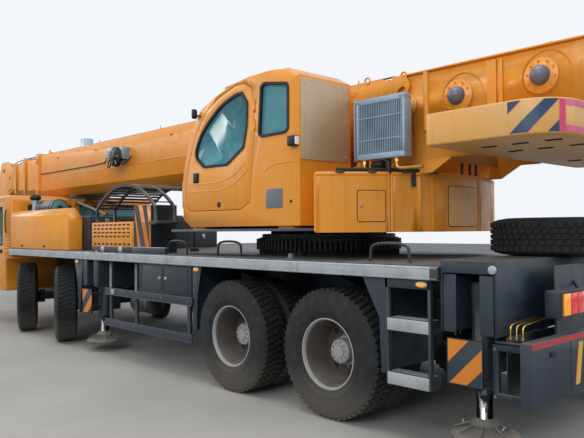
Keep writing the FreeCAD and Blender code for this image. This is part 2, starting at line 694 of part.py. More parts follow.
def make_road_cab():
    """The low full-width cab, hollow, with its doors, glass, seats and dashboard."""
    half, wall = s.cab_half, s.cab_wall
    shell = cut(slab(SIDE, road_cab_outline(0), -half, half),
                [slab(SIDE, road_cab_outline(wall), wall - half, half - wall)])
    openings = []
    for word, side in SIDES:
        low, high = span(side, half - wall - 20, half + 20)
        openings.append(slab(SIDE, road_door_outline(s.door_gap), low, high))
    screen = box((s.cab_front - 760, wall + 60 - half, s.cab_sill + 60),
                 (s.cab_front + 20, half - wall - 60, s.cab_roof - wall - 60))
    back = box((s.cab_rear - 20, wall + 250 - half, s.cab_sill + 150),
               (s.cab_rear + wall + 20, half - wall - 250, s.cab_roof - wall - 120))
    hinge_along = s.cab_front - 330 + s.door_gap / 2
    hinges = {side: hinge_barrels(hinge_along, half * side, (s.cab_floor + 200, s.cab_sill - 250))
              for word, side in SIDES}
    room = openings + [screen, back] + hinges[1][3] + hinges[-1][3]
    node("driver_cab", [fused([cut(shell, room)] + hinges[1][1] + hinges[-1][1])])
    glass = []
    pane_depth = cut(slab(SIDE, road_cab_outline(12), wall + 60 - half, half - wall - 60),
                     [slab(SIDE, road_cab_outline(12 + s.glass_plate), -half, half)])
    glass.append(common(pane_depth, box(
        (s.cab_front - 760, wall + 60.3 - half, s.cab_sill + 60.3),
        (s.cab_front + 20, half - wall - 60.3, s.cab_roof - wall - 60.3))))
    glass.append(box((s.cab_rear + 20, wall + 250.3 - half, s.cab_sill + 150.3),
                     (s.cab_rear + 20 + s.glass_plate, half - wall - 250.3, s.cab_roof - wall - 120.3)))
    node("driver_glass", glass)
    floor = s.cab_floor + wall + s.fit_gap
    inside = []
    for word, side in SIDES:
        middle = s.cab_half * 0.55 * side
        seat_rear = s.cab_arch + 120
        inside.append(fused([
            box((seat_rear, middle - 180, floor), (seat_rear + 380, middle + 180, floor + 300)),
            box((seat_rear - 20, middle - 240, floor + 300), (seat_rear + 460, middle + 240, floor + 420)),
            slab(SIDE, [(seat_rear - 20, floor + 420), (seat_rear + 100, floor + 420),
                        (seat_rear - 10, s.cab_roof - 330), (seat_rear - 110, s.cab_roof - 330)],
                 middle - 240, middle + 240)]))
    dash_front = s.cab_front - wall
    inside.append(slab(SIDE, [(dash_front - 130, floor), (dash_front - 30, floor + 120),
                              (dash_front - 30, s.cab_sill - 180),
                              (dash_front - 330, s.cab_sill - 120), (dash_front - 360, s.cab_sill - 240),
                              (dash_front - 200, floor)], wall + 20 - half, half - wall - 20))
    node("driver_interior", inside)
    for word, side in SIDES:
        low, high = span(side, half - wall, half)
        leaf = slab(SIDE, road_door_outline(0), low, high)
        low, high = span(side, half - wall - 10, half + 10)
        window = slab(SIDE, road_window_outline(0), low, high)
        low, high = span(side, half - wall * 0.6, half - wall * 0.6 + s.glass_plate)
        pane = slab(SIDE, road_window_outline(0), low, high)
        barrels = hinges[side]
        node("driver_door_" + word, [fused([cut(leaf, [window] + barrels[2]), pane] + barrels[0])])


def make_engine_bay():
    """The engine block, its dark cover with the air cleaner, and the yellow hood beside it."""
    web_in = s.frame_half - s.frame_web - s.fit_gap
    node("engine_block", [mid_box((s.engine_rear, s.engine_front), web_in, (s.engine_low, s.engine_top))])
    wall = s.cover_wall
    cover = cut(mid_box((s.cover_rear, s.cover_front), s.cover_half, (s.deck_top, s.cover_top)),
                [mid_box((s.cover_rear + wall, s.cover_front - wall), s.cover_half - wall,
                         (s.deck_top - 10, s.cover_top - wall))])
    cleaner_high = s.cover_top + 155
    cleaner = rod("x", (s.cover_front - 750, s.cover_half - 190, cleaner_high), 150, as_size(640))
    saddle = box((s.cover_front - 650, s.cover_half - 260, s.cover_top),
                 (s.cover_front - 250, s.cover_half - 120, s.cover_top + 60))
    node("engine_cover", [fused([cover, saddle, cleaner])])
    top_in = s.hood_in + 60
    hood = slab(FRONT, [(s.hood_in, s.deck_top), (s.rail_out - 30, s.deck_top),
                        (s.rail_out - 30, s.hood_top - 90), (s.rail_out - 80, s.hood_top),
                        (top_in, s.hood_top), (s.hood_in, s.hood_top - 120)],
                s.hood_rear, s.deck_front)
    corner = slab(SIDE, [(s.hood_rear - 10, s.hood_top - 190), (s.hood_rear + 120, s.hood_top + 10),
                         (s.hood_rear - 10, s.hood_top + 10)], s.hood_in - 10, s.rail_out)
    node("side_hood", [cut(hood, [corner])])


def make_deck_guards():
    """The boom rest, the arched guard cage and the boxes that it stands on."""
    rear, front = s.rest_rear, s.rest_rear + s.rest_long
    top = s.boom_low - 6
    rest = [mid_box((rear, front), s.rest_half, (top - 60, top))]
    for word, side in SIDES:
        rest.append(side_box(side, (rear + 10, front - 10), (s.rest_half - 120, s.rest_half - 20),
                             (s.deck_top, top - 60)))
    parts = [fused(rest)]
    spring, bar = s.cage_spring, s.cage_bar
    middle = (s.cage_rear + s.cage_front) / 2
    rise = s.cage_top - spring
    half = (s.cage_front - s.cage_rear) / 2
    radius = (half * half + rise * rise) / (rise * 2)
    hoop = [(s.cage_rear, s.cage_foot), (s.cage_rear, spring, radius), (s.cage_front, spring),
            (s.cage_front, s.cage_foot), (s.cage_front - bar, s.cage_foot),
            (s.cage_front - bar, spring - bar * 0.6, -(radius - bar)),
            (s.cage_rear + bar, spring - bar * 0.6), (s.cage_rear + bar, s.cage_foot)]
    cage = []
    for low in (s.cage_in, s.cage_out - bar):
        cage.append(slab(SIDE, hoop, low, low + bar))
    for share in (-0.9, -0.65, -0.39, -0.13, 0.13, 0.39, 0.65, 0.9):
        across = half.value * share
        drop = radius.value - math.sqrt(radius.value ** 2 - across ** 2)
        slat_top = s.cage_top - (drop + 6)
        cage.append(box((middle + across - 18, s.cage_in + 5, slat_top - 14),
                        (middle + across + 18, s.cage_out - 5, slat_top)))
    striped = box((s.cage_rear + 130, s.cage_in - 100, s.deck_top),
                  (s.cage_rear + 530, s.cage_out - 20, s.cage_spring + 20))
    steps = box((s.cage_rear + 530, s.cage_in - 60, s.deck_top), (s.cage_front + 120, s.cage_out, s.cage_foot))
    foot = box((s.cage_rear - 20, s.cage_in - 20, s.cage_foot - 40),
               (s.cage_rear + 140, s.cage_out, s.cage_foot))
    parts.append(fused(cage + [striped, steps, foot]))
    node("deck_guards", parts)


def make_side_gear():
    """Tanks, underrun guards, steps and mudguards below the deck."""
    parts = []
    low_deck = deck_low
    for word, side in SIDES:
        tank_out = rail_in - 5
        parts.append(side_box(side, (s.axle_three + 690, s.axle_three + 1800), (760, tank_out),
                              (900, low_deck)))
        guard = []
        guard_rear, guard_front = s.axle_three + 650, s.axle_three + 2650
        for level in (410, 810):
            guard.append(side_box(side, (guard_rear, guard_front), (tank_out, tank_out + 20),
                                  (level, level + 90)))
        for along in (s.axle_three + 1850, s.axle_three + 2500):
            guard.append(side_box(side, (along, along + 60), (tank_out - 30, tank_out),
                                  (410, low_deck)))
        guard.append(side_box(side, (guard_rear + 60, guard_rear + 120), (tank_out - 30, tank_out),
                              (410, 900)))
        parts.append(fused(guard))
        flaps = ((s.axle_four - 610, s.axle_four - 598, 500), (s.axle_three + 600, s.axle_three + 612, 560),
                 (s.axle_two - 720, s.axle_two - 708, 500))
        for rear, front, low in flaps:
            parts.append(side_box(side, (rear, front), (730, tank_out), (low, low_deck)))
        steps = []
        step_rear, step_front = s.axle_four - 1070, s.axle_four - 650
        for top in (520, 940):
            steps.append(side_box(side, (step_rear, step_front), (s.rail_out - 180, rail_in - 5),
                                  (top - 100, top)))
        for along in (step_rear, step_front - 25):
            steps.append(side_box(side, (along, along + 25), (s.rail_out - 80, rail_in - 5),
                                  (420, low_deck)))
        parts.append(fused(steps))
    node("side_gear", parts)


def make_tail():
    """The tail bumper on its hangers, the lamp boxes and the step frame."""
    rear, front = s.tail_rear, s.tail_rear + s.tail_plate
    pieces = [mid_box((rear, front), s.tail_half, (440, 870)),
              mid_box((front - 20, front), s.frame_half + 400, (870, s.deck_top))]
    for word, side in SIDES:
        pieces.append(side_box(side, (rear - 30, front), (540, 1000), (1000, 1190)))
        frame_rear, frame_front = rear + 60, rear + 300
        for low in (460, 790):
            pieces.append(side_box(side, (frame_rear, frame_front), (s.tail_half - 80, s.tail_half - 40),
                                   (low, low + 40)))
        pieces.append(side_box(side, (frame_front - 40, frame_front), (s.tail_half - 80, s.tail_half - 40),
                               (460, 830)))
    eye = rear - s.tow_eye * 2
    pieces.append(cut(box((eye - s.tow_eye * 2, -s.tow_eye * 2.2, s.tow_high),
                          (rear + 5, s.tow_eye * 2.2, s.tow_high + s.tow_plate)),
                      [rod("z", (eye, zero, s.tow_high - 10), s.tow_eye, s.tow_plate + 20)]))
    node("tail_frame", [fused(pieces)])
    base = (slew_place + s.spare_place, zero, s.spare_low + s.tyre_width / 2)
    flat = FreeCAD.Rotation(FreeCAD.Vector(1, 0, 0), 90)
    spare = node("spare_wheel", [tyre(zero), rim([zero], zero)], base)
    spare.Placement.Rotation = flat


# start and end of each round hood, degrees from straight ahead
HOODS = {1: ((130, 151), (151.6, 186.5)), -1: ((130, 151), (151.6, 173))}


def round_wall(inner, outer, low, top):
    """A ring about the slewing centre."""
    return cut(rod("z", (zero, zero, low), outer, top - low),
               [rod("z", (zero, zero, low - 5), inner, top - low + 10)])


def sector(near, far, side):
    """A wedge from the slewing centre between two angles."""
    reach = s.skirt_radius * 1.2
    ends = [(math.cos(math.radians(a)), math.sin(math.radians(a)) * side)
            for a in (near, (near + far) / 2.0, far)]
    return slab(PLAN, [(zero, zero)] + [(reach * along, reach * across) for along, across in ends],
                s.skirt_low - 10, s.skirt_top + 5)


def make_turntable():
    """Side plates with the boom pivot, the floor, round hoods, pins and winch bearings."""
    outer, inner = s.plate_half, s.plate_half - s.side_plate
    floor_top = s.floor_low + s.floor_plate
    pivot, high = s.pivot_place, s.pivot_high
    side_plate = [
        (1150, floor_top), (1150, floor_top + 230), (500, 2130), (-1000, 2240), (pivot + 330, high + 180),
        (pivot + 180, high + 290), (-s.tail_reach + 120, high + 290), (-s.tail_reach + 60, high + 160),
        (-s.tail_reach + 60, s.weight_top), (s.weight_front + 20, s.weight_top),
        (s.weight_front + 20, s.weight_low), (pivot - 100, s.weight_low), (pivot - 100, floor_top)]
    parts = []
    for word, side in SIDES:
        low, high_y = span(side, inner, outer)
        parts.append(slab(SIDE, side_plate, low, high_y))
    parts.append(rod("z", (zero, zero, s.ring_top + s.fit_gap), s.ring_radius - 40,
                     s.floor_low - s.ring_top - s.fit_gap))
    disc = rod("z", (zero, zero, s.floor_low), s.skirt_radius - s.skirt_plate, s.floor_plate)
    keep = box((-s.skirt_radius, -s.room_out, s.floor_low - 10),
               (s.room_out, s.room_out, floor_top + 10))
    parts.append(common(disc, keep))
    for low, high_x in ((-800, -600), (600, 800)):
        parts.append(box((low, s.room_in + 20, floor_top - 5),
                         (high_x, s.room_out - 20, s.room_low - s.fit_gap)))
    plate = s.skirt_plate
    for side, hoods in HOODS.items():
        for near, far in hoods:
            outside = common(round_wall(s.skirt_inner, s.skirt_radius, s.skirt_low, s.skirt_top),
                             sector(near, far, side))
            room = common(round_wall(s.skirt_inner + plate, s.skirt_radius - plate, s.skirt_low - 5,
                                     s.skirt_top - plate), sector(near + 0.7, far - 0.7, side))
            parts.append(cut(outside, [room]))
    pivot_reach = outer + 35
    parts.append(rod("y", (pivot, -pivot_reach, high), s.pivot_pin, pivot_reach * 2))
    parts.append(rod("y", (s.lift_foot, -outer, s.lift_foot_high), s.lift_pin, outer * 2))
    for drum, drum_high in ((s.drum_main, s.drum_main_high), (s.drum_second, s.drum_second_high)):
        for word, side in SIDES:
            low, far = span(side, inner + 5, outer + 40)
            parts.append(rod("y", (drum, low, drum_high), 130, far - low))
    for along in (s.weight_front - 300, -s.tail_reach + 100):
        parts.append(mid_box((along, along + 60), inner + 5, (s.weight_top, s.weight_top + 40)))
    parts.append(slab(SIDE, [(s.drum_main + 330, s.weight_low), (s.drum_main + 360, s.weight_low),
                             (s.drum_main + 360, s.drum_main_high - 300),
                             (s.drum_main + 330, s.drum_main_high - 300)], -inner - 5, inner + 5))
    node("turntable", [fused(parts)])


def make_counterweight():
    """A flat slab with round rear corners, bored for its lifting eyes."""
    body = doc.addObject("PartDesign::Body", "CounterweightBody")
    plane = [f for f in body.Origin.OriginFeatures if f.Role == "XY_Plane"][0]
    rear, front, half, turn = -s.tail_reach, s.weight_front, s.weight_half, s.weight_round
    small = turn * 0.27
    corners = [(rear, half - turn, -turn), (rear + turn, half), (front - small, half, -small),
               (front, half - small), (front, small - half, -small), (front - small, -half),
               (rear + turn, -half, -turn), (rear, turn - half)]
    corners = [c if len(c) == 2 else (c[0], c[1], -c[2]) for c in corners]
    sketch = outline(corners)
    body.addObject(sketch)
    sketch.AttachmentSupport = [(plane, "")]
    sketch.MapMode = "FlatFace"
    pad = body.newObject("PartDesign::Pad", "WeightPad")
    pad.Profile = sketch
    bind(pad, "Length", s.weight_top - s.weight_low - s.fit_gap)
    body.Tip = pad
    place(body, (zero, zero, s.weight_low))
    node("counterweight", [body])


ROOM = (
    # along, up, radius of the arc to the next, inset along, inset up
    (-920, 1670, None, 1, 1), (-920, 3050, None, 1, -0.4), (-770, 3135, None, 0.3, -1),
    (-240, 3155, 2400, 0, -1), (625, 2930, 1500, -0.5, -0.86), (980, 2120, None, -1, -0.1),
    (962, 1755, None, -1, 0.3), (812, 1670, None, -0.6, 1))
DOOR = ((907, 1899, None), (808, 1847, None), (-47, 1843, None), (-200, 1914, None), (-272, 2560, None),
        (-278, 2900, None), (-225, 3040, None), (-120, 3096, None), (3, 3096, None), (262, 3022, 1500),
        (535, 2887, 1500), (905, 2112, None))
PANE = ((729, 2493, None), (718, 2409, None), (575, 2300, None), (159, 2295, None), (-120, 2450, None),
        (-177, 2662, None), (-189, 2901, None), (-99, 3022, None), (4, 3018, None), (196, 2966, 1500),
        (608, 2689, None))
REAR_PANE = ((-337, 2555), (-390, 2524), (-737, 2528), (-781, 2564), (-785, 2965), (-759, 3006),
             (-433, 3060), (-376, 3035))


def room_outline(inset):
    """The crane cab from the left, drawn in by an inset. It runs over the roof to the front."""
    corners = []
    for along, up, radius, right, rise in ROOM:
        point = (as_size(inset) * right + along, as_size(inset) * rise + up)
        if radius is not None:
            point += (radius - as_size(inset),)
        corners.append(point)
    return corners


def room_piece(table, low, high):
    corners = [c[:2] if len(c) == 2 or c[2] is None else c for c in table]
    return slab(SIDE, corners, low, high)


def make_crane_cab():
    """The crane operator's cab with its arched front, hinged door, glass and seat."""
    out, inn, wall = s.room_out, s.room_in, s.room_wall
    shell = cut(slab(SIDE, room_outline(0), inn, out),
                [slab(SIDE, room_outline(wall), inn + wall, out - wall)])
    door_hole = slab(SIDE, grown(DOOR, 6), out - wall - 20, out + 20)
    rear_hole = room_piece(REAR_PANE, out - wall - 20, out + 20)
    inner_hole = room_piece(PANE, inn - 20, inn + wall + 20)
    screen = box((400, inn + wall + 30, 1960), (1050, out - wall - 30, 3300))
    roof = box((-500, inn + wall + 60, 3000), (330, out - wall - 60, 3300))
    barrels = hinge_barrels(as_size(-281), out, (2600, 2790))
    opened = cut(shell, [door_hole, rear_hole, inner_hole, screen, roof] + barrels[3])
    node("crane_cab", [fused([opened] + barrels[1])])
    skin = cut(slab(SIDE, room_outline(12), inn + wall + 30.3, out - wall - 30.3),
               [slab(SIDE, room_outline(20), inn, out)])
    panes = [common(skin, box((400.3, inn, 1960.3), (1050, out, 3300))),
             common(skin, box((-499.7, inn + wall + 60.3, 3000), (329.7, out - wall - 60.3, 3300))),
             slab(SIDE, grown(REAR_PANE, -0.3), out - 28, out - 20),
             slab(SIDE, grown(PANE, -0.3), inn + 15, inn + 23)]
    node("crane_cab_glass", panes)
    seat_in, seat_out = inn + 130, out - 130
    floor = s.room_low + wall + s.fit_gap
    seat = fused([
        box((-350, seat_in + 80, floor), (-30, seat_out - 80, floor + 330)),
        box((-430, seat_in, floor + 330), (60, seat_out, floor + 450)),
        slab(SIDE, [(-430, floor + 450), (-310, floor + 450), (-430, floor + 1050), (-530, floor + 1050)],
             seat_in + 30, seat_out - 30)])
    desk = slab(SIDE, [(640, floor), (760, floor), (840, floor + 520), (700, floor + 600), (640, floor + 560)],
                inn + wall + 60, out - wall - 60)
    node("crane_cab_interior", [seat, desk])
    leaf = cut(room_piece(DOOR, out - wall, out), [room_piece(PANE, out - wall - 10, out + 10)])
    pane = room_piece(PANE, out - 28, out - 20)
    node("crane_cab_door", [fused([cut(leaf, barrels[2]), pane] + barrels[0])])


def grown(table, by):
    """A ring of points moved away from its middle by a length along both directions."""
    mid_x = sum(c[0] for c in table) / len(table)
    mid_z = sum(c[1] for c in table) / len(table)
    moved = []
    for corner in table:
        away = math.hypot(corner[0] - mid_x, corner[1] - mid_z)
        share = 1.0 + by * 1.25 / away
        point = (mid_x + (corner[0] - mid_x) * share, mid_z + (corner[1] - mid_z) * share)
        if len(corner) > 2 and corner[2] is not None:
            point += (corner[2],)
        moved.append(point)
    return moved


def make_cooler():
    """The oil cooler on its legs beside the boom foot."""
    inner = s.cooler_out - s.cooler_deep
    block = box((s.cooler_rear, inner, s.cooler_low), (s.cooler_front, s.cooler_out, s.cooler_top))
    grooves = []
    count = 11
    pitch = (s.cooler_front - s.cooler_rear) / count
    for index in range(count):
        start = s.cooler_rear + pitch * (index + 0.3)
        grooves.append(box((start, s.cooler_out - 12, s.cooler_low + 40),
                           (start + pitch * 0.4, s.cooler_out + 10, s.cooler_top - 40)))
    legs = [box((along, inner + 20, s.skirt_top), (along + 40, inner + 60, s.cooler_low))
            for along in (s.cooler_rear + 210, s.cooler_front - 80)]
    node("oil_cooler", [fused([cut(block, grooves)] + legs)])


def make_winches():
    """Two rope drums with their flanges between the side plates."""
    face = s.plate_half - s.side_plate - s.fit_gap
    core, rope, flange = s.drum_radius * 0.5, s.drum_radius, s.flange_radius
    for name, along, high in (("winch_drum_main", s.drum_main, s.drum_main_high),
                              ("winch_drum_second", s.drum_second, s.drum_second_high)):
        # half width over flats, place across
        half = [(core, face), (core, face - 35), (flange, face - 35), (flange, face - 60),
                (rope, face - 60)]
        drum = ring_solid([(flat, -across) for flat, across in half]
                          + [(flat, across) for flat, across in reversed(half)])
        place(drum, (along, zero, high))
        node(name, [drum])


def section_outline(number, inset):
    """A boom section seen from the front: flat top, bent lower corners."""
    drop = s.boom_step * number + as_size(inset)
    half, low, top = s.boom_half - drop, s.boom_low + drop, s.boom_top - drop
    bend = s.boom_bend - as_size(inset) * 0.4
    return [(-half, low + bend), (-half, top), (half, top), (half, low + bend), (half - bend, low),
            (bend - half, low)]


def tube(number, rear, front):
    """A hollow boom section."""
    return cut(slab(FRONT, section_outline(number, 0), rear, front),
               [slab(FRONT, section_outline(number, s.boom_wall), rear - 10, front + 10)])


def pads(number, rear, inside):
    """Slide pads between a section and its neighbour: inside its collar or round its rear end."""
    gap = s.boom_step - s.boom_wall
    thick = gap - s.fit_gap
    shift = s.boom_wall if inside else -thick
    drop = s.boom_step * number + shift
    half, low, top = s.boom_half - drop, s.boom_low + drop, s.boom_top - drop
    parts = []
    wide = s.boom_half * 0.4
    along = (rear, rear + s.pad_long)
    tall = top - low
    for word, side in SIDES:
        for start, end in ((0.27, 0.47), (0.67, 0.87)):
            parts.append(side_box(side, along, (half - thick, half), (low + tall * start, low + tall * end)))
    parts.append(mid_box(along, wide, (top - thick, top)))
    parts.append(mid_box(along, wide, (low, low + thick)))
    return parts


def collar(number, front):
    """The stiff ring at a section's front end, flush below."""
    drop = s.boom_step * number
    half, low, top = s.boom_half - drop, s.boom_low + drop, s.boom_top - drop
    proud = s.collar_proud
    ring = box((front - s.collar_long, -half - proud, low + s.boom_bend),
               (front, half + proud, top + proud))
    return cut(ring, [slab(FRONT, section_outline(number, s.boom_wall / 2),
                           front - s.collar_long - 10, front + 10)])


def make_boom():
    """The base section with its foot, three sliding sections and the head with its sheaves."""
    foot_front = s.section_rear - 150
    foot = []
    pivot, high = s.pivot_place, s.pivot_high
    for word, side in SIDES:
        low, far = span(side, s.boom_half - 40, s.boom_half)
        foot.append(slab(SIDE, [(pivot - 150, high - 60), (pivot - 150, high + 60), (pivot - 90, high + 130),
                                (pivot + 480, s.boom_top), (foot_front + 10, s.boom_top),
                                (foot_front + 10, s.boom_low + s.boom_bend), (pivot + 330, high - 230),
                                (pivot - 60, high - 150)], low, far))
        low, far = span(side, s.boom_half - 40, s.plate_half - s.side_plate - s.fit_gap)
        foot.append(rod("y", (pivot, low, high), s.pivot_pin + 60, far - low))
    tall = s.boom_top - s.boom_low
    foot.append(mid_box((foot_front - 200, foot_front - 170), s.boom_half - 20,
                        (s.boom_low + tall * 0.37, s.boom_top - tall * 0.05)))
    lug_top = s.boom_low - s.fit_gap
    lugs = []
    for word, side in SIDES:
        low, far = span(side, s.eye_half + 1, s.eye_half + 41)
        lugs.append(slab(SIDE, [(s.lift_eye - 230, lug_top), (s.lift_eye + 230, lug_top),
                                (s.lift_eye + 95, s.lift_eye_high - 60), (s.lift_eye + 30, s.lift_eye_high - 95),
                                (s.lift_eye - 30, s.lift_eye_high - 95), (s.lift_eye - 95, s.lift_eye_high - 60)],
                         low, far))
    lamp = box((5640, 120, s.boom_top - 5), (5760, 300, s.boom_top + 180))
    reel_in = s.boom_half - 5
    reel = [box((s.reel_place - 350, reel_in, s.reel_high - 60), (s.reel_place, s.boom_half + 130, s.reel_high + 130)),
            box((s.reel_place, reel_in, s.reel_high - 20), (s.reel_place + 210, s.boom_half + 100, s.reel_high + 150))]
    reel.append(rod("y", (s.reel_place - 190, s.boom_half + 120, s.reel_high - 20), as_size(150), as_size(60)))
    base = [tube(0, foot_front, s.base_front), collar(0, s.base_front), lamp] + reel
    base += pads(0, s.base_front - s.collar_long + 10, True) + foot
    bore = rod("y", (pivot, -s.plate_half, high), s.pivot_pin + s.fit_gap / 3, s.plate_half * 2)
    node("boom_base", [cut(fused(base), [bore])] + lugs)
    fronts = (s.first_front, s.second_front, s.third_front)
    for number, front in enumerate(fronts, start=1):
        rear = s.section_rear + s.section_stagger * (number - 1)
        pieces = [tube(number, rear, front)] + pads(number, rear, False)
        if number < 3:
            pieces += [collar(number, front)] + pads(number, front - s.collar_long + 10, True)
        else:
            pieces += boom_head(number, front)
        node("boom_section_%d" % number, [fused(pieces)])


SHEAVES = (-100, 100)


def boom_head(number, front):
    """Two cheeks with the lower and upper sheaves."""
    drop = s.boom_step * number
    half, low, top = s.boom_half - drop, s.boom_low + drop, s.boom_top - drop
    cheeks = [(front - 250, low + s.boom_bend), (front - 250, top), (front + 60, top + 180),
              (front + 430, top + 180), (s.tip_reach - 40, s.sheave_high + 200), (s.tip_reach, s.sheave_high + 60),
              (s.tip_reach, s.sheave_high - 120), (s.sheave_place, s.sheave_high - 200),
              (front, low + 20)]
    pieces = []
    for word, side in SIDES:
        inner, outer = span(side, half - 25, half + 5)
        pieces.append(slab(SIDE, cheeks, inner, outer))
    pieces.append(rod("y", (s.sheave_place, 10 - half, s.sheave_high), 45, half * 2 - 20))
    groove = s.sheave_radius
    for across in SHEAVES:
        pieces.append(rod("y", (s.sheave_place, across - 40, s.sheave_high), groove, as_size(80)))
        for near in (-40, 25):
            flange = ring_solid([(groove + 12, near), (groove + 12, near + 15)])
            place(flange, (s.sheave_place, across, s.sheave_high))
            pieces.append(flange)
    guide = ring_solid([(groove * 0.8, 10 - half), (groove * 0.8, half - 10)], sides=16)
    place(guide, (front + 300, zero, top + 20))
    pieces.append(guide)
    pieces.append(mid_box((front - 20, front), half - 5, (low + 5, top - 5)))
    return pieces


def make_hook():
    """The hook block on its falls of rope, hung from the lower head sheaves."""
    along, high = s.sheave_place, s.sheave_high
    block_top = high - s.hook_drop
    pieces = []
    away = s.sheave_radius + s.rope_radius + s.fit_gap
    for across in SHEAVES:
        for offset in (-away, away):
            rope = ring_solid([(s.rope_radius, -20), (s.rope_radius, s.hook_drop)], sides=8, axis="z")
            place(rope, (along + offset, across, block_top))
            pieces.append(rope)
    cheek = [(along - 230, block_top + 20), (along + 230, block_top + 20), (along + 230, block_top - 120),
             (along + 90, block_top - 420), (along - 90, block_top - 420), (along - 230, block_top - 120)]
    pieces.append(slab(SIDE, cheek, -140, 140))
    throat_high = block_top - 420 - s.hook_radius * 1.5
    pieces.append(rod("z", (along, zero, throat_high + s.hook_throat), 42,
                      block_top - 400 - throat_high - s.hook_throat))
    ring = cut(rod("y", (along, -38, throat_high), s.hook_radius, as_size(76)),
               [rod("y", (along, -50, throat_high), s.hook_throat, as_size(100)),
                box((along + 20, -50, throat_high - 20), (along + s.hook_radius + 20, 50,
                                                          throat_high + s.hook_radius + 20))])
    node("hook_block", [fused(pieces + [ring])])


def make_lift_cylinder():
    """The lift cylinder's barrel and rod, on the line between their two pins."""
    run, rise = s.lift_eye - s.lift_foot, s.lift_eye_high - s.lift_foot_high
    length = math.hypot(run.value, rise.value)
    slope = math.degrees(math.atan2(rise.value, run.value))
    long_text = "sqrt((%s)^2 + (%s)^2)" % (run.text, rise.text)
    whole = Size(length, long_text)
    eye = rod("y", (zero, -140, zero), s.lift_radius * 0.9, as_size(280))
    barrel = rod("x", (s.lift_pin, zero, zero), s.lift_radius, whole - 400)
    bore = rod("x", (s.lift_pin + 200, zero, zero), s.lift_rod + s.fit_gap, whole)
    pin = rod("y", (zero, -200, zero), s.lift_pin + s.fit_gap / 3, as_size(400))
    base = (slew_place + s.lift_foot, zero, s.lift_foot_high)
    tilt = FreeCAD.Rotation(FreeCAD.Vector(0, -1, 0), slope)
    tube_node = node("lift_barrel", [cut(fused([eye, barrel]), [bore, pin])], base)
    shaft = rod("x", (s.lift_pin + 260, zero, zero), s.lift_rod, whole - s.lift_pin - 260)
    end = rod("y", (whole, -s.eye_half, zero), s.eye_radius, s.eye_half * 2)
    rod_node = node("lift_rod", [fused([shaft, end])], base)
    for piece in (tube_node, rod_node):
        piece.Placement.Rotation = tilt
        angle = "atan2(%s; %s)" % (rise.text, run.text)
        piece.setExpression(".Placement.Rotation.Angle", angle)
        piece.Placement.Rotation.Axis = FreeCAD.Vector(0, -1, 0)


make_chassis()
make_axles()
make_wheels()
make_outriggers()
make_road_cab()
make_engine_bay()
make_deck_guards()
make_side_gear()
make_tail()
make_turntable()
make_counterweight()
make_crane_cab()
make_cooler()
make_winches()
make_boom()
make_hook()
make_lift_cylinder()
doc.recompute()

faults = [thing.Name + " " + str(thing.State) for thing in doc.Objects
          if "Invalid" in thing.State or "Error" in thing.State]
for piece in nodes:
    if piece.Shape.isNull() or not piece.Shape.isValid():
        faults.append(piece.Label + " has no valid shape")
if faults:
    raise RuntimeError("; ".join(faults))
os.makedirs("parts", exist_ok=True)
for piece in nodes:
    piece.Shape.exportStep(os.path.join("parts", piece.Label + ".step"))
print(len(nodes), "pieces")
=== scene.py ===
"""A four-axle truck crane, parked for the road: its finished pieces and materials over the CAD frame."""
import json
import math

import bmesh
import bpy
from mathutils import Matrix, Vector


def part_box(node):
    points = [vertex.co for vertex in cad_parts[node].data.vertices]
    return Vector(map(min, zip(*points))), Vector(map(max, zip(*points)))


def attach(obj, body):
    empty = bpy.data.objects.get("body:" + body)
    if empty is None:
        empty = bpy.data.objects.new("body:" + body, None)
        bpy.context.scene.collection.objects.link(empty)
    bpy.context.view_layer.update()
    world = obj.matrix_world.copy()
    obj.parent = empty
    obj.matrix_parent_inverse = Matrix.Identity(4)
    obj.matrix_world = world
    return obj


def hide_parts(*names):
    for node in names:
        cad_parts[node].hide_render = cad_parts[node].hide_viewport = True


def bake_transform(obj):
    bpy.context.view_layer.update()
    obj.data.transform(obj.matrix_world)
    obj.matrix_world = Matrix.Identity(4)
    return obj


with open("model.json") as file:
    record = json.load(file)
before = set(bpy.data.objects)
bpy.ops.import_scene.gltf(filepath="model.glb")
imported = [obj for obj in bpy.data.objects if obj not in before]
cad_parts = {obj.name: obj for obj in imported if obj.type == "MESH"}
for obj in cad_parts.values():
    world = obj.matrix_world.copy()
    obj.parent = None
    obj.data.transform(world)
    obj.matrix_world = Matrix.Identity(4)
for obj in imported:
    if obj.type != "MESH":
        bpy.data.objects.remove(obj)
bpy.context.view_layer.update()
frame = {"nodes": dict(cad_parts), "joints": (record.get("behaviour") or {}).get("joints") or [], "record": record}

SIDES = (("left", 1), ("right", -1))
OUT, AHEAD, BACK, UP = (0, 1, 0), (1, 0, 0), (-1, 0, 0), (0, 0, 1)
SLEW = next(Vector(joint["pos_m"]) for joint in frame["joints"] if joint["name"] == "slew")


def at(along, across, up):
    """A place given from the slewing centre, in the frame."""
    return Vector((SLEW.x + along, across, up))


# Forms


def side_view(along, up, across):
    return along, across, up


def front_view(across, up, along):
    return along, across, up


def beside(across, *points):
    """Places from (along, up) points, all at one distance from the centre line."""
    return [(along, across, up) for along, up in points]


def rect(a, b, c, d):
    """An outline with square corners, from (a, b) to (c, d)."""
    return [(a, b), (c, b), (c, d), (a, d)]


def slant(foot, wide, lean, low, high):
    """The outline of a leaning stripe."""
    return [(foot, low), (foot + wide, low), (foot + wide + lean, high), (foot + lean, high)]


def arc(centre, wide, high, start, step, count):
    """Points round a centre, by equal steps from an angle in degrees."""
    angles = [math.radians(start + step * k) for k in range(count)]
    return [(centre[0] + wide * math.cos(a), centre[1] + high * math.sin(a)) for a in angles]


def loop(radius, thick, up=0.0):
    """The profile of a round bar that is bent to a loop."""
    return arc((radius, up), thick, thick, 0, 45, 9)


def hoop(inner, outer, deep):
    """The profile of a flat band."""
    return rect(inner, 0, outer, deep) + [(inner, 0)]


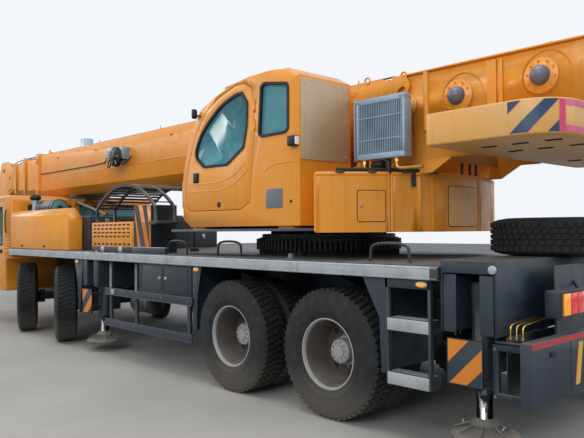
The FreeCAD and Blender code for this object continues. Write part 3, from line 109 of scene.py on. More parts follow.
def round_off(form, width, segments=2, least=30, pick=None):
    """Rounds the picked edges that turn by more than the least angle."""
    edges = [e for e in form.edges if e.is_manifold and e.calc_face_angle(0) > math.radians(least)
             and (pick is None or pick(e))]
    if edges and width > 0:
        bmesh.ops.bevel(form, geom=edges, offset=width, segments=segments, profile=0.5,
                        affect="EDGES", material=-1, clamp_overlap=True)


def on_side(across):
    """Picks the edges that lie on a plane beside the centre line."""
    return lambda edge: all(abs(vert.co.y - across) < 2e-4 for vert in edge.verts)


def scaled(x, y, z):
    return Matrix.Diagonal((x, y, z, 1))


def brick(matrix=Matrix()):
    """A cube of one metre, put in place by a matrix."""
    form = bmesh.new()
    bmesh.ops.create_cube(form, size=1.0, matrix=matrix)
    return form


def sheet(points, corner, segments=5):
    """A flat form with these corners, rounded."""
    form = bmesh.new()
    corners = [form.verts.new(point) for point in points]
    form.faces.new(corners)
    if corner:
        bmesh.ops.bevel(form, geom=corners, offset=corner, segments=segments, profile=0.5,
                        affect="VERTICES", material=-1, clamp_overlap=True)
    return form


def thicken(form, way):
    """Makes a flat form as thick as the way is long."""
    moved = bmesh.ops.extrude_face_region(form, geom=form.faces[:])["geom"]
    bmesh.ops.translate(form, verts=[v for v in moved if isinstance(v, bmesh.types.BMVert)], vec=way)


class Piece:
    """A piece in the making. Tuples are places from the slewing centre, or axes, mirrored where side is -1."""

    def __init__(self, name, body, finish, slot=None, side=1):
        self.name, self.body, self.slot, self.side = name, body, slot, side
        self.whole = bmesh.new()
        self.finishes = [finish]

    def sides(self):
        """Left, then right: the loop's tuples say where things are on the left."""
        for self.side in (1, -1):
            yield self.side
        self.side = 1

    def spot(self, place):
        """A tuple's place in the frame. A vector is one already."""
        return place if isinstance(place, Vector) else at(place[0], place[1] * self.side, place[2])

    def way(self, axis):
        x, y, z = axis
        return Vector((x, y if isinstance(axis, Vector) else y * self.side, z)).normalized()

    def number(self, finish):
        if finish not in self.finishes:
            self.finishes.append(finish)
        return self.finishes.index(finish)

    def take(self, form):
        mesh = bpy.data.meshes.new("form")
        form.to_mesh(mesh)
        form.free()
        self.whole.from_mesh(mesh)
        bpy.data.meshes.remove(mesh)
        return self

    def add(self, form, edge=0.0, finish=None, segments=2):
        """Takes a form into the piece, its edges rounded."""
        bmesh.ops.recalc_face_normals(form, faces=form.faces)
        round_off(form, edge, segments)
        number = self.number(finish or self.finishes[0])
        for face in form.faces:
            face.material_index = number
        return self.take(form)

    def block(self, low, high, edge=0.0, finish=None, tilt=0.0):
        """A block between two places, with rounded edges."""
        low, high = self.spot(low), self.spot(high)
        shape = Matrix.Rotation(math.radians(tilt), 4, "Y") @ scaled(*[abs(c) for c in high - low])
        return self.add(brick(Matrix.Translation((low + high) / 2) @ shape), edge, finish)

    def bar(self, start, end, radius, far=None, sides=20, edge=0.0, finish=None):
        """A round bar between two places, tapered where far is given."""
        start, end = self.spot(start), self.spot(end)
        form = bmesh.new()
        way = end - start
        place = Matrix.Translation((start + end) / 2) @ way.to_track_quat("Z", "Y").to_matrix().to_4x4()
        bmesh.ops.create_cone(form, cap_ends=True, segments=sides, radius1=radius,
                              radius2=radius if far is None else far, depth=way.length, matrix=place)
        return self.add(form, edge, finish, 1)

    def plate(self, outline, low, high, edge=0.0, corner=0.0, finish=None, view=side_view):
        """An outline in a view, as thick as from low to high."""
        form = sheet([self.spot(view(a, b, low)) for a, b in outline], corner)
        thicken(form, self.spot(view(0, 0, high)) - self.spot(view(0, 0, low)))
        return self.add(form, edge, finish)

    def ring(self, outline, wide, low, high, corner=0.0, finish=None, view=side_view):
        """A seal or frame that runs round inside an outline."""
        form = sheet([self.spot(view(a, b, low)) for a, b in outline], corner)
        middle = form.faces[:]
        bmesh.ops.inset_individual(form, faces=middle, thickness=wide, use_even_offset=True)
        bmesh.ops.delete(form, geom=middle, context="FACES")
        thicken(form, self.spot(view(0, 0, high)) - self.spot(view(0, 0, low)))
        return self.add(form, 0.0, finish)

    def turned(self, centre, axis, profile, steps=48, finish=None):
        """A form turned on an axis from (radius, place along the axis) points, closed at both ends."""
        form = bmesh.new()
        centre, axis = self.spot(centre), self.way(axis)
        out = axis.orthogonal().normalized()
        line = [form.verts.new(centre + out * radius + axis * away) for radius, away in profile]
        edges = [form.edges.new(pair) for pair in zip(line, line[1:])]
        bmesh.ops.spin(form, geom=line + edges, cent=centre, axis=axis, angle=math.tau, steps=steps,
                       use_merge=True)
        bmesh.ops.remove_doubles(form, verts=form.verts, dist=1e-5)
        bmesh.ops.holes_fill(form, edges=form.edges, sides=0)
        return self.add(form, 0.0, finish)

    def cap(self, centre, axis, profile, steps=48, finish=None, tip=None):
        """A turned form that runs from its axis over a profile to its axis, there at the tip."""
        last = profile[-1][1] if tip is None else tip
        return self.turned(centre, axis, [(0, profile[0][1]), *profile, (0, last)], steps, finish)

    def dome(self, centre, axis, radius, proud, finish=None, steps=32):
        """A shallow round cap that stands proud of a face."""
        return self.turned(centre, axis, arc((0, 0), radius, proud, 0, 18, 5) + [(0, proud)], steps, finish)

    def pipe(self, points, radius, finish=None, smooth=True):
        """A round hose, pipe or rope through points."""
        line = bpy.data.curves.new("run", "CURVE")
        line.dimensions = "3D"
        line.bevel_depth, line.bevel_resolution, line.use_fill_caps = radius, 2, True
        line.resolution_u = 6
        run = line.splines.new("NURBS" if smooth else "POLY")
        run.points.add(len(points) - 1)
        for point, place in zip(run.points, points):
            point.co = (*self.spot(place), 1)
        if smooth:
            run.order_u, run.use_endpoint_u = 3, True
        holder = bpy.data.objects.new("run", line)
        mesh = bpy.data.meshes.new_from_object(holder)
        form = bmesh.new()
        form.from_mesh(mesh)
        bpy.data.objects.remove(holder)
        bpy.data.meshes.remove(mesh)
        bmesh.ops.remove_doubles(form, verts=form.verts, dist=1e-6)
        return self.add(form, 0.0, finish)

    def bolt(self, place, axis, radius, proud, finish=None):
        """A six-sided bolt head on a face."""
        place = self.spot(place)
        self.bar(place, place + self.way(axis) * proud, radius, sides=6, finish=finish or STEEL)

    def bolts(self, centre, axis, circle, count, radius, proud, finish=None, start=0.0):
        """A ring of bolt heads."""
        centre, axis = self.spot(centre), self.way(axis)
        out = axis.orthogonal().normalized()
        for number in range(count):
            turn = Matrix.Rotation(start + math.tau * number / count, 3, axis)
            self.bolt(centre + turn @ out * circle, axis, radius, proud, finish)

    def from_node(self, node, edge, least=0.0, finishes=(), pick=None, segments=2):
        """The CAD node's shape, its sharp edges from the least length up rounded. A finish may hold in a box."""
        form = bmesh.new()
        form.from_mesh(frame["nodes"][node].data)
        bmesh.ops.remove_doubles(form, verts=form.verts, dist=2e-5)
        bmesh.ops.dissolve_limit(form, angle_limit=math.radians(0.8), verts=form.verts, edges=form.edges)
        boxes = [(finish, *map(sorted, zip(self.spot(low), self.spot(high)))) for finish, low, high in finishes]
        for face in form.faces:
            face.material_index = 0
            middle = face.calc_center_median()
            for finish, *spans in boxes:
                if all(low <= place <= high for place, (low, high) in zip(middle, spans)):
                    face.material_index = self.number(finish)
        round_off(form, edge, segments, 25, pick or (lambda e: e.calc_length() >= least))
        bmesh.ops.triangulate(form, faces=[f for f in form.faces if len(f.verts) > 4])
        return self.take(form)

    def skin(self, outline, thick, cuts, wrap, corner=0.0, finish=None, edge=0.0):
        """An outline in (along, up), cut into strips, made thick and wrapped round a curved face."""
        form = sheet([(along, 0.0, up) for along, up in outline], corner, 4)
        for cut in cuts:
            bmesh.ops.bisect_plane(form, geom=form.verts[:] + form.edges[:] + form.faces[:],
                                   plane_co=(cut, 0, 0), plane_no=(1, 0, 0))
        thicken(form, (0, thick, 0))
        for vert in form.verts:
            vert.co = wrap(vert.co)
        return self.add(form, edge, finish)

    def done(self, *nodes, smooth=40, between=None):
        """Makes the object, which rides on its body, or, when between is given, is left in the frame without a body;
        it may stand for CAD nodes.
        """
        mesh = bpy.data.meshes.new(self.name)
        self.whole.to_mesh(mesh)
        self.whole.free()
        for finish in self.finishes:
            mesh.materials.append(finish)
        mesh.shade_smooth()
        mesh.set_sharp_from_angle(angle=math.radians(smooth))
        thing = bpy.data.objects.new(self.name, mesh)
        bpy.context.scene.collection.objects.link(thing)
        if between:
            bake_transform(thing)
        else:
            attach(thing, self.body)
        if nodes:
            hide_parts(*nodes)
        return thing


# Finishes


def rgb(red, green, blue):
    """A display colour from 0 to 255 as the shader's linear colour."""
    def line(level):
        level /= 255
        return level / 12.92 if level <= 0.04045 else ((level + 0.055) / 1.055) ** 2.4
    return (line(red), line(green), line(blue), 1.0)


def toned(colour, factor):
    return tuple(min(channel * factor, 1.0) for channel in colour[:3]) + (1.0,)


DUST = rgb(150, 142, 130)
FILM = rgb(120, 150, 152)


class Finish:
    """A material in the making: named steps that end on the shader's sockets."""

    def __init__(self, name):
        self.material = bpy.data.materials.new(name)
        self.material.use_nodes = True
        self.tree = self.material.node_tree
        self.shader = self.tree.nodes["Principled BSDF"]
        self.place = self.node("TexCoord").outputs["Object"]

    def link(self, source, socket):
        self.tree.links.new(source, socket)

    def node(self, kind, **values):
        """A node, its sockets set to numbers or linked to other nodes."""
        node = self.tree.nodes.new("ShaderNode" + kind)
        for word, value in values.items():
            self.put(value, node.inputs[word.replace("_", " ")])
        return node

    def put(self, value, socket):
        if isinstance(value, (int, float, tuple)):
            socket.default_value = value
        else:
            self.link(value, socket)

    def noise(self, scale, stretch=(1, 1, 1), detail=5.0, rough=0.6):
        """Noise over the object's coordinates, stretched along each axis."""
        node = self.node("TexNoise", Scale=scale, Detail=detail, Roughness=rough)
        mapping = self.node("Mapping", Scale=stretch, Vector=self.place)
        self.link(mapping.outputs["Vector"], node.inputs["Vector"])
        return node.outputs["Fac"]

    def ramp(self, source, low, high, start=0.0, end=1.0):
        """A number that goes from start to end as the source goes from low to high."""
        node = self.tree.nodes.new("ShaderNodeMapRange")
        node.interpolation_type = "SMOOTHSTEP"
        for socket, value in zip(("From Min", "From Max", "To Min", "To Max"), (low, high, start, end)):
            node.inputs[socket].default_value = value
        self.link(source, node.inputs["Value"])
        return node.outputs["Result"]

    def product(self, one, other):
        node = self.tree.nodes.new("ShaderNodeMath")
        node.operation = "MULTIPLY"
        self.link(one, node.inputs[0])
        self.link(other, node.inputs[1])
        return node.outputs["Value"]

    def mix(self, share, one, other):
        """A colour between two others."""
        node = self.tree.nodes.new("ShaderNodeMix")
        node.data_type = "RGBA"
        for word, value in (("Factor", share), ("A", one), ("B", other)):
            self.put(value, node.inputs[word])
        return node.outputs["Result"]

    def upright(self, source=None):
        """The upward part of the object's coordinates, or of another vector."""
        split = self.tree.nodes.new("ShaderNodeSeparateXYZ")
        self.link(source or self.node("NewGeometry").outputs["Normal"], split.inputs[0])
        return split.outputs["Z"]

    def bump(self, source, strength, distance):
        node = self.node("Bump", Strength=strength, Distance=distance, Height=source)
        self.link(node.outputs["Normal"], self.shader.inputs["Normal"])

    def rough(self, source):
        self.link(source, self.shader.inputs["Roughness"])

    def colour(self, source):
        self.link(source, self.shader.inputs["Base Color"])

    def set(self, **values):
        for word, value in values.items():
            self.shader.inputs[word.replace("_", " ")].default_value = value
        return self.material


def paint(name, colour, faded, rough=0.38, dust=0.35, streaks=0.25, ripple=0.02):
    """Machine paint: faded patches, rain streaks, dust on what faces up, a slightly uneven coat."""
    finish = Finish(name)
    colour = rgb(*colour)
    patches = finish.ramp(finish.noise(1.7), 0.35, 0.7)
    shade = finish.mix(patches, colour, rgb(*faded))
    runs = finish.ramp(finish.noise(6.0, (3.0, 3.0, 0.35)), 0.52, 0.72, 0.0, streaks)
    shade = finish.mix(runs, shade, toned(colour, 0.55))
    grime = finish.product(finish.ramp(finish.upright(), 0.25, 0.95, 0.0, dust),
                           finish.ramp(finish.noise(4.3), 0.3, 0.65, 0.35, 1.0))
    finish.colour(finish.mix(grime, shade, DUST))
    finish.rough(finish.ramp(finish.noise(9.0), 0.3, 0.75, rough - 0.06, rough + 0.16))
    finish.bump(finish.noise(38.0, detail=2.0), ripple, 0.004)
    return finish.set(Coat_Weight=0.15, Coat_Roughness=0.25)


def rubber(name, colour, dusty, rough=0.8):
    """Tyre rubber: dusty towards the ground, with fine scuffs."""
    finish = Finish(name)
    shade = finish.mix(finish.ramp(finish.noise(14.0), 0.4, 0.7), rgb(*colour), rgb(*dusty))
    finish.colour(finish.mix(finish.ramp(finish.upright(finish.place), 0.0, 0.50, 0.32, 0.0), shade, DUST))
    finish.bump(finish.noise(120.0, detail=3.0), 0.12, 0.002)
    return finish.set(Roughness=rough, Specular_IOR_Level=0.3)


def metal(name, colour, rough, grain=0.05, shine=1.0, stretch=(1, 1, 1)):
    """Bare or silver-painted metal with stains and a fine grain."""
    finish = Finish(name)
    colour = rgb(*colour)
    stains = finish.ramp(finish.noise(7.0, stretch), 0.42, 0.75, 0.0, 0.5)
    finish.colour(finish.mix(stains, colour, toned(colour, 0.5)))
    finish.rough(finish.ramp(finish.noise(22.0, stretch), 0.3, 0.7, rough - 0.08, rough + 0.14))
    finish.bump(finish.noise(90.0, stretch), grain, 0.002)
    return finish.set(Metallic=shine)


def plastic(name, colour, rough=0.55):
    """Moulded plastic with a fine grain."""
    finish = Finish(name)
    colour = rgb(*colour)
    finish.colour(finish.mix(finish.ramp(finish.noise(5.0), 0.35, 0.7), colour, toned(colour, 1.35)))
    finish.bump(finish.noise(160.0, detail=1.0), 0.1, 0.001)
    return finish.set(Roughness=rough)


def tinted_glass(name, colour, clear):
    """Tinted window glass with a faint film of dust."""
    finish = Finish(name)
    film = finish.ramp(finish.noise(3.0), 0.35, 0.75, 0.0, 0.35)
    finish.colour(finish.mix(film, rgb(*colour), FILM))
    finish.rough(finish.ramp(finish.noise(6.0), 0.3, 0.7, 0.10, 0.22))
    return finish.set(Transmission_Weight=clear, IOR=1.45, Specular_IOR_Level=0.5)


def lens(name, colour, glow=0.0):
    """A moulded lamp lens with fine ribs."""
    finish = Finish(name)
    colour = rgb(*colour)
    finish.colour(finish.mix(finish.ramp(finish.noise(30.0, (4, 1, 1)), 0.4, 0.6), colour, toned(colour, 1.6)))
    finish.bump(finish.noise(140.0, (1, 0.1, 1), 0.0), 0.3, 0.002)
    if glow:
        finish.set(Emission_Color=colour, Emission_Strength=glow)
    return finish.set(Roughness=0.2, Coat_Weight=0.6)


YELLOW = paint("machine_yellow", (228, 143, 22), (225, 152, 54))
PALE = paint("faded_yellow", (222, 165, 88), (214, 172, 116), 0.45)
NAVY = paint("chassis_blue_grey", (29, 41, 54), (42, 52, 64), 0.5, 0.30, 0.15)
BLACK = paint("cover_black", (24, 30, 36), (38, 44, 50), 0.5, 0.5)
IRON = paint("cast_iron_black", (34, 36, 38), (58, 54, 50), 0.7, 0.5, ripple=0.15)
RAIL = metal("rail_aluminium", (172, 178, 183), 0.5, shine=0.35)
SILVER = paint("wheel_silver", (168, 170, 172), (146, 144, 142), 0.42, 0.2, 0.4)
RIM_INSIDE = paint("wheel_inside", (84, 78, 74), (66, 62, 60), 0.6, streaks=0.4)
STEEL = metal("worn_steel", (150, 150, 150), 0.38)
CHROME = metal("hard_chrome", (214, 216, 220), 0.14, 0.01)
COOLER = metal("cooler_fins", (158, 178, 196), 0.48, shine=0.5)
ROPE = metal("steel_rope", (96, 92, 86), 0.55, 0.5, stretch=(2, 12, 2))
TYRE = rubber("tyre_rubber", (31, 34, 38), (46, 47, 48))
SEAL = rubber("window_rubber", (22, 26, 30), (34, 38, 42), 0.6)
HOSE = rubber("hose_rubber", (26, 27, 29), (40, 40, 41), 0.5)
TRIM = plastic("cab_trim", (52, 54, 58))
SLATE = paint("winch_slate", (84, 92, 104), (102, 108, 118), 0.4)
GLASS = tinted_glass("teal_glass", (66, 142, 158), 0.14)
TEAL = paint("filter_teal", (64, 116, 120), (84, 132, 130), 0.4, 0.45)
AMBER = lens("amber_lens", (255, 150, 20), 0.3)
RED = lens("red_lens", (214, 30, 24), 0.15)
WHITE = lens("clear_lens", (236, 238, 240))
BRASS = metal("brass_pipe", (196, 158, 84), 0.35)
RED_TAPE = paint("red_tape", (188, 38, 44), (170, 48, 52), 0.35, 0.15)
PINK_TAPE = paint("pink_tape", (206, 56, 108), (212, 84, 128), 0.35, 0.15)
ORANGE_PAINT = paint("stripe_orange", (222, 132, 24), (206, 124, 36), 0.4, 0.1)
YELLOW_TAPE = paint("stripe_yellow", (226, 184, 44), (214, 178, 66), 0.4, 0.1)
BLUE_TAPE = paint("stripe_blue", (28, 58, 92), (34, 64, 98), 0.4, 0.1)
CLOTH = plastic("seat_cloth", (46, 48, 54), 0.9)
BEIGE = paint("beige_wall", (186, 166, 136), (176, 160, 136), 0.5, 0.2)
DECK = paint("deck_plate", (38, 46, 56), (56, 60, 66), 0.6, ripple=0.5)
FLOAT = paint("float_grey", (92, 94, 92), (112, 106, 96), 0.6, 0.5)

NODE_FINISH = {
    "body_paint": YELLOW, "chassis_paint": NAVY, "weight_paint": PALE, "tyre": TYRE,
    "rim_silver": SILVER, "rail_aluminium": RAIL, "axle_iron": IRON, "engine_iron": IRON,
    "cover_dark": BLACK, "guard_dark": BLACK, "gear_dark": NAVY, "cab_glass": GLASS,
    "trim_plastic": TRIM, "jack_chrome": CHROME, "cooler_grey": COOLER, "drum_steel": STEEL,
    "hook_steel": YELLOW,
}


def finish_nodes():
    """Every CAD node that stays in view takes its finish from its slot."""
    for part in frame["record"]["subparts"]:
        thing = frame["nodes"][part["node"]]
        thing.data.materials.clear()
        thing.data.materials.append(NODE_FINISH[part["material_slot"]])


# Wheels

TYRE_RADIUS = 0.5625
TREAD_BASE = 0.547
SIDEWALL = ((0.300, 0.125), (0.316, 0.136), (0.330, 0.139), (0.362, 0.150), (0.366, 0.152),
            (0.372, 0.151), (0.430, 0.155), (0.500, 0.143), (0.522, 0.133), (0.527, 0.135),
            (0.533, 0.130), (TREAD_BASE, 0.117), (TREAD_BASE, 0.060), (TREAD_BASE, 0.0))
LUGS = 56
LUG_ROWS = ((0.097, 0.040, 0.034, 0.0), (-0.097, 0.040, 0.034, 0.5), (0.045, 0.036, 0.040, 0.25),
            (-0.045, 0.036, 0.040, 0.75), (0.0, 0.034, 0.042, 0.5))
TWIN = 0.175
RIM_HALF = 0.130


def tyre_form(piece, centre, axle):
    """One tyre: turned carcass, two rows of shoulder lugs and three broken ribs."""
    outer = list(SIDEWALL) + [(radius, -across) for radius, across in reversed(SIDEWALL[:-1])]
    piece.turned(centre, axle, outer + outer[:1], 56)
    out = axle.orthogonal().normalized()
    lug_middle = (TREAD_BASE - 0.01 + TYRE_RADIUS - 0.001) / 2
    for across, wide, long, shift in LUG_ROWS:
        for number in range(LUGS):
            away = Matrix.Rotation(math.tau * (number + shift) / LUGS, 3, axle) @ out
            basis = Matrix((axle.cross(away), axle, away)).transposed().to_4x4()
            middle = Matrix.Translation(centre + axle * across + away * lug_middle)
            piece.add(brick(middle @ basis @ scaled(long, wide, TYRE_RADIUS - TREAD_BASE + 0.009)))


def rim_form(piece, pivot, outward, twin):
    """A rim seen from outside: bright lip, dark barrel, dished disc with hand holes, hub and nuts."""
    reach = RIM_HALF + (TWIN if twin else 0)
    disc = 0.0 if twin else 0.02
    half = ((0.333, reach - 0.006), (0.314, reach - 0.013), (0.2995, reach - 0.024))
    piece.turned(pivot, outward, [(0.297, -reach), (0.331, -reach), *[(r, -away) for r, away in half],
                                  *reversed(half), (0.331, reach), (0.297, reach), (0.288, reach - 0.02),
                                  (0.286, -reach + 0.02), (0.297, -reach)], finish=SILVER)
    piece.turned(pivot, outward, ((0.2855, reach - 0.03), (0.272, reach - 0.06), (0.268, disc + 0.03),
                                  (0.262, disc + 0.012), (0.160, disc + 0.020), (0.150, disc + 0.034),
                                  (0.0, disc + 0.034), (0.0, disc), (0.262, disc - 0.010),
                                  (0.2855, disc - 0.01), (0.2855, reach - 0.03)), finish=RIM_INSIDE)
    out = outward.orthogonal().normalized()
    # hand holes drawn as dark discs on the disc face: painted shade in place of openings
    for number in range(8):
        turn = Matrix.Rotation(math.tau * number / 8, 3, outward)
        hole = pivot + turn @ out * 0.212 + outward * (disc + 0.0155)
        piece.bar(hole, hole + outward * 0.003, 0.027, sides=16, finish=SEAL)
    hub = disc + (0.150 if twin else 0.098)
    piece.cap(pivot, outward, ((0.132, disc + 0.02), (0.130, disc + 0.055), (0.112, disc + 0.060),
                               (0.108, hub - 0.012), (0.098, hub), (0.058, hub), (0.054, hub + 0.014)),
              36, SILVER, hub + 0.016)
    piece.bolts(pivot + outward * (disc + 0.034), outward, 0.1425, 10, 0.011, 0.022)
    piece.bolts(pivot + outward * hub, outward, 0.080, 10, 0.008, 0.008, start=0.3)


def wheel_pieces():
    """Tyres and rims of all eight wheels, and the spare."""
    for number in (1, 2, 3, 4):
        for word, side in SIDES:
            name = "%d_%s" % (number, word)
            roll = next(joint for joint in frame["joints"] if joint["name"] == "roll_" + name)
            pivot, axle = Vector(roll["pos_m"]), Vector(roll["axis"]).normalized()
            twin = number > 2
            tyres = Piece("dressed_tyre_" + name, "wheel_" + name, TYRE, "tyre")
            for place in (TWIN, -TWIN) if twin else (0.0,):
                tyre_form(tyres, pivot + axle * place, axle)
            tyres.done("tyre_" + name, smooth=35)
            rim = Piece("dressed_rim_" + name, "wheel_" + name, SILVER, "rim_silver")
            rim_form(rim, pivot, axle * side, twin)
            rim.done("rim_" + name, smooth=35)
    low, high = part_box("spare_wheel")
    spare = Piece("dressed_spare", "chassis", TYRE, "tyre")
    tyre_form(spare, (low + high) / 2, Vector(UP))
    rim_form(spare, (low + high) / 2, Vector(UP), False)
    spare.done("spare_wheel", smooth=35)


# Crane cab

CAB_SIDE = 1.330
CREASE = 1.3295
DOOR_PANE = ((0.729, 2.493), (0.718, 2.409), (0.575, 2.300), (0.159, 2.295), (-0.120, 2.450),
             (-0.177, 2.662), (-0.189, 2.901), (-0.099, 3.022), (0.004, 3.018), (0.196, 2.966),
             (0.311, 2.914), (0.414, 2.845), (0.519, 2.770), (0.608, 2.689), (0.680, 2.596))
REAR_PANE = ((-0.337, 2.555), (-0.390, 2.524), (-0.737, 2.528), (-0.781, 2.564), (-0.785, 2.965),
             (-0.759, 3.006), (-0.433, 3.060), (-0.376, 3.035))
DOOR_CREASES = (((0.885, 2.066), (0.70, 2.058), (0.50, 2.052), (0.30, 2.056), (0.15, 2.074), (0.03, 2.115),
                 (-0.08, 2.172), (-0.19, 2.250)),
                ((0.885, 2.143), (0.65, 2.136), (0.42, 2.134), (0.22, 2.148), (0.08, 2.182), (-0.04, 2.240),
                 (-0.13, 2.300)))


def outer_rim(edge):
    """Whether an edge lies on the crane cab's outline and not on its openings."""
    middle = (edge.verts[0].co + edge.verts[1].co) / 2
    along, up = middle.x - SLEW.x, middle.z
    if up < 1.70 or along < -0.90:
        return True
    if along > 0.50 and up < 2.98:
        return along > 0.955 if up < 2.15 else along > 0.625 + (2.930 - up) * 0.44
    return up > 3.115 - max(along - 0.05, 0.0) * 0.36


def crane_cab_pieces():
    """The operator's cab: shell, rear wall, glass with its seals, door and lamps."""
    shell = Piece("cab_shell", "superstructure", YELLOW, "body_paint")
    shell.from_node("crane_cab", 0.022, pick=lambda e: on_side(CAB_SIDE)(e) and outer_rim(e), segments=3)
    shell.plate(rect(0.665, 2.275, 1.312, 3.022), -0.927, -0.917, 0.003, 0.012, BEIGE, front_view)
    for across in (0.72, 1.26):
        for up in (2.33, 2.65, 2.97):
            shell.dome((-0.927, across, up), BACK, 0.011, 0.005, PALE, 12)
    shell.ring(REAR_PANE, 0.026, CAB_SIDE - 0.024, CAB_SIDE + 0.008, 0.030, SEAL)
    shell.pipe(beside(CREASE, (-0.42, 2.200), (-0.47, 2.228), (-0.54, 2.252), (-0.69, 2.264), (-0.90, 2.257)),
               0.006)
    # blank plate, lock and rear lamp
    shell.plate(rect(-0.686, 1.838, -0.451, 2.022), CAB_SIDE - 0.001, CAB_SIDE + 0.004, 0.001, 0.012, SLATE)
    for along in (-0.672, -0.465):
        for up in (1.852, 2.008):
            shell.dome((along, CAB_SIDE + 0.004, up), OUT, 0.005, 0.002, STEEL, 10)
    shell.cap((-0.80, CAB_SIDE, 1.896), OUT, ((0.015, -0.002), (0.015, 0.003), (0.011, 0.005)), 24, SEAL)
    shell.block((-0.915, 1.322, 2.395), (-0.815, 1.395, 2.490), 0.012, HOSE)
    shell.plate(rect(1.334, 2.405, 1.386, 2.480), -0.920, -0.914, 0.002, 0.010, WHITE, front_view)
    shell.pipe([(-0.80, 1.332, 2.43), (-0.785, 1.342, 2.425), (-0.775, 1.345, 2.43)], 0.007, HOSE)
    # mirror, grab rail in front of the door, wiper on the front screen
    shell.pipe([(0.60, 1.315, 2.86), (0.66, 1.345, 2.875), (0.70, 1.352, 2.89)], 0.010, HOSE)
    shell.block((0.690, 1.322, 2.850), (0.735, 1.382, 2.955), 0.016, HOSE)
    shell.pipe([(0.955, 1.3, 2.18), (0.985, 1.32, 2.18), (0.985, 1.32, 2.14), (0.985, 1.32, 1.92),
                (0.985, 1.32, 1.88), (0.945, 1.3, 1.88)], 0.011, RAIL)
    shell.bar((0.975, 0.93, 2.02), (0.995, 0.93, 2.02), 0.020, sides=16, finish=HOSE)
    shell.pipe([(0.990, 0.93, 2.02), (0.985, 0.95, 2.10), (0.935, 1.05, 2.33)], 0.007, HOSE)
    shell.pipe([(0.975, 1.00, 2.16), (0.930, 1.06, 2.34), (0.862, 1.10, 2.52)], 0.009, HOSE)
    # rain rail along the roof's edge, grille low on the front
    shell.pipe(beside(1.318, (-0.90, 3.052), (-0.77, 3.140), (-0.25, 3.160), (0.20, 3.105)), 0.008)
    for up in (1.74, 1.78, 1.82, 1.86):
        shell.block((0.955, 0.76, up), (0.985, 1.20, up + 0.014), 0.003, HOSE)
    shell.done("crane_cab")

    glass = Piece("cab_glass", "superstructure", GLASS, "cab_glass")
    glass.from_node("crane_cab_glass", 0.0).done("crane_cab_glass", smooth=35)

    door = Piece("cab_door", "crane_door", YELLOW, "body_paint")
    pane = [(GLASS, (-0.195, 1.3012, 2.29), (0.735, 1.3108, 3.03))]
    door.from_node("crane_cab_door", 0.005, finishes=pane, pick=on_side(CAB_SIDE))
    door.ring(DOOR_PANE, 0.026, CAB_SIDE - 0.024, CAB_SIDE + 0.008, 0.030, SEAL)
    for line in DOOR_CREASES:
        door.pipe(beside(CREASE, *line), 0.0055)
    door.block((0.664, CAB_SIDE - 0.004, 2.147), (0.768, CAB_SIDE + 0.006, 2.259), 0.004, SEAL)
    door.block((0.680, CAB_SIDE + 0.004, 2.160), (0.712, CAB_SIDE + 0.022, 2.246), 0.007, HOSE)
    door.cap((0.303, CAB_SIDE, 1.900), OUT, ((0.030, -0.002), (0.030, 0.004), (0.024, 0.008), (0.012, 0.009)),
             32, SEAL, 0.006)
    # painted reflection: a dark strip just inside the lowest part of the door glass, standing in for the darker band
    # the horizon reflects there
    door.block((-0.16, 1.262, 2.297), (0.66, 1.284, 2.400), 0.006, TRIM)
    door.done("crane_cab_door")


def cushion(name, body, centre, size, tilt=0.0, seams=2):
    """A seat or back cushion: crowned, drawn in between its corners, with sewn channels."""
    form = brick()
    bmesh.ops.subdivide_edges(form, edges=form.edges, cuts=9, use_grid_fill=True)
    for vert in form.verts:
        x, y, z = vert.co * 2
        crown = (1 - x * x) * (1 - y * y)
        channel = sum(math.exp(-((y - place) / 0.07) ** 2) for place in (-0.5, 0.5)[:seams])
        vert.co.x *= 1 - 0.045 * (1 - y * y) * abs(x) * (1 - z * z)
        vert.co.y *= 1 - 0.045 * (1 - x * x) * abs(y) * (1 - z * z)
        if z > 0:
            vert.co.z += (0.16 * crown - 0.10 * channel * (1 - x * x)) * z
        vert.co.x, vert.co.y = vert.co.x * (1 - 0.06 * z * z), vert.co.y * (1 - 0.06 * z * z)
    bmesh.ops.smooth_vert(form, verts=form.verts, factor=0.5, use_axis_x=True, use_axis_y=True,
                          use_axis_z=True)
    form.transform(Matrix.Translation(at(*centre)) @ Matrix.Rotation(math.radians(tilt), 4, "Y")
                   @ scaled(*size))
    thing = Piece(name, body, CLOTH, "trim_plastic").add(form).done(smooth=80)
    rounder = thing.modifiers.new("rounding", "SUBSURF")
    rounder.levels = rounder.render_levels = 1


def seat(name, body, middle, floor, front, high):
    """A sprung driver's seat: plinth, bellows, two cushions, headrest and arm rests. Gives back the plinth."""
    plinth = Piece(name + "_plinth", body, TRIM, "trim_plastic")
    plinth.block((front - 0.42, middle - 0.17, floor), (front - 0.08, middle + 0.17, floor + 0.05), 0.01)
    for level in range(5):
        low = floor + 0.05 + level * 0.05
        plinth.block((front - 0.40 + 0.01 * (level % 2), middle - 0.15, low),
                     (front - 0.10, middle + 0.15, low + 0.048), 0.02, HOSE)
    plinth.block((front - 0.46, middle - 0.20, floor + 0.30), (front - 0.02, middle + 0.20, floor + 0.335),
                 0.01)
    for arm in (middle - 0.235, middle + 0.235):
        plinth.block((front - 0.40, arm - 0.025, floor + 0.53), (front - 0.10, arm + 0.025, floor + 0.57),
                     0.014, HOSE)
        plinth.bar((front - 0.15, arm, floor + 0.57), (front - 0.15, arm, floor + 0.66), 0.012, 0.009,
                   finish=HOSE)
        plinth.dome((front - 0.15, arm, floor + 0.655), UP, 0.019, 0.030, HOSE, 16)
    cushion(name + "_cushion", body, (front - 0.24, middle, floor + 0.385), (0.47, 0.44, 0.10))
    cushion(name + "_back", body, (front - 0.475, middle, floor + 0.225 + high / 2),
            (high - 0.47, 0.42, 0.09), 98.0)
    cushion(name + "_head", body, (front - 0.53, middle, floor + high + 0.045), (0.14, 0.24, 0.07), 98.0, 0)
    return plinth


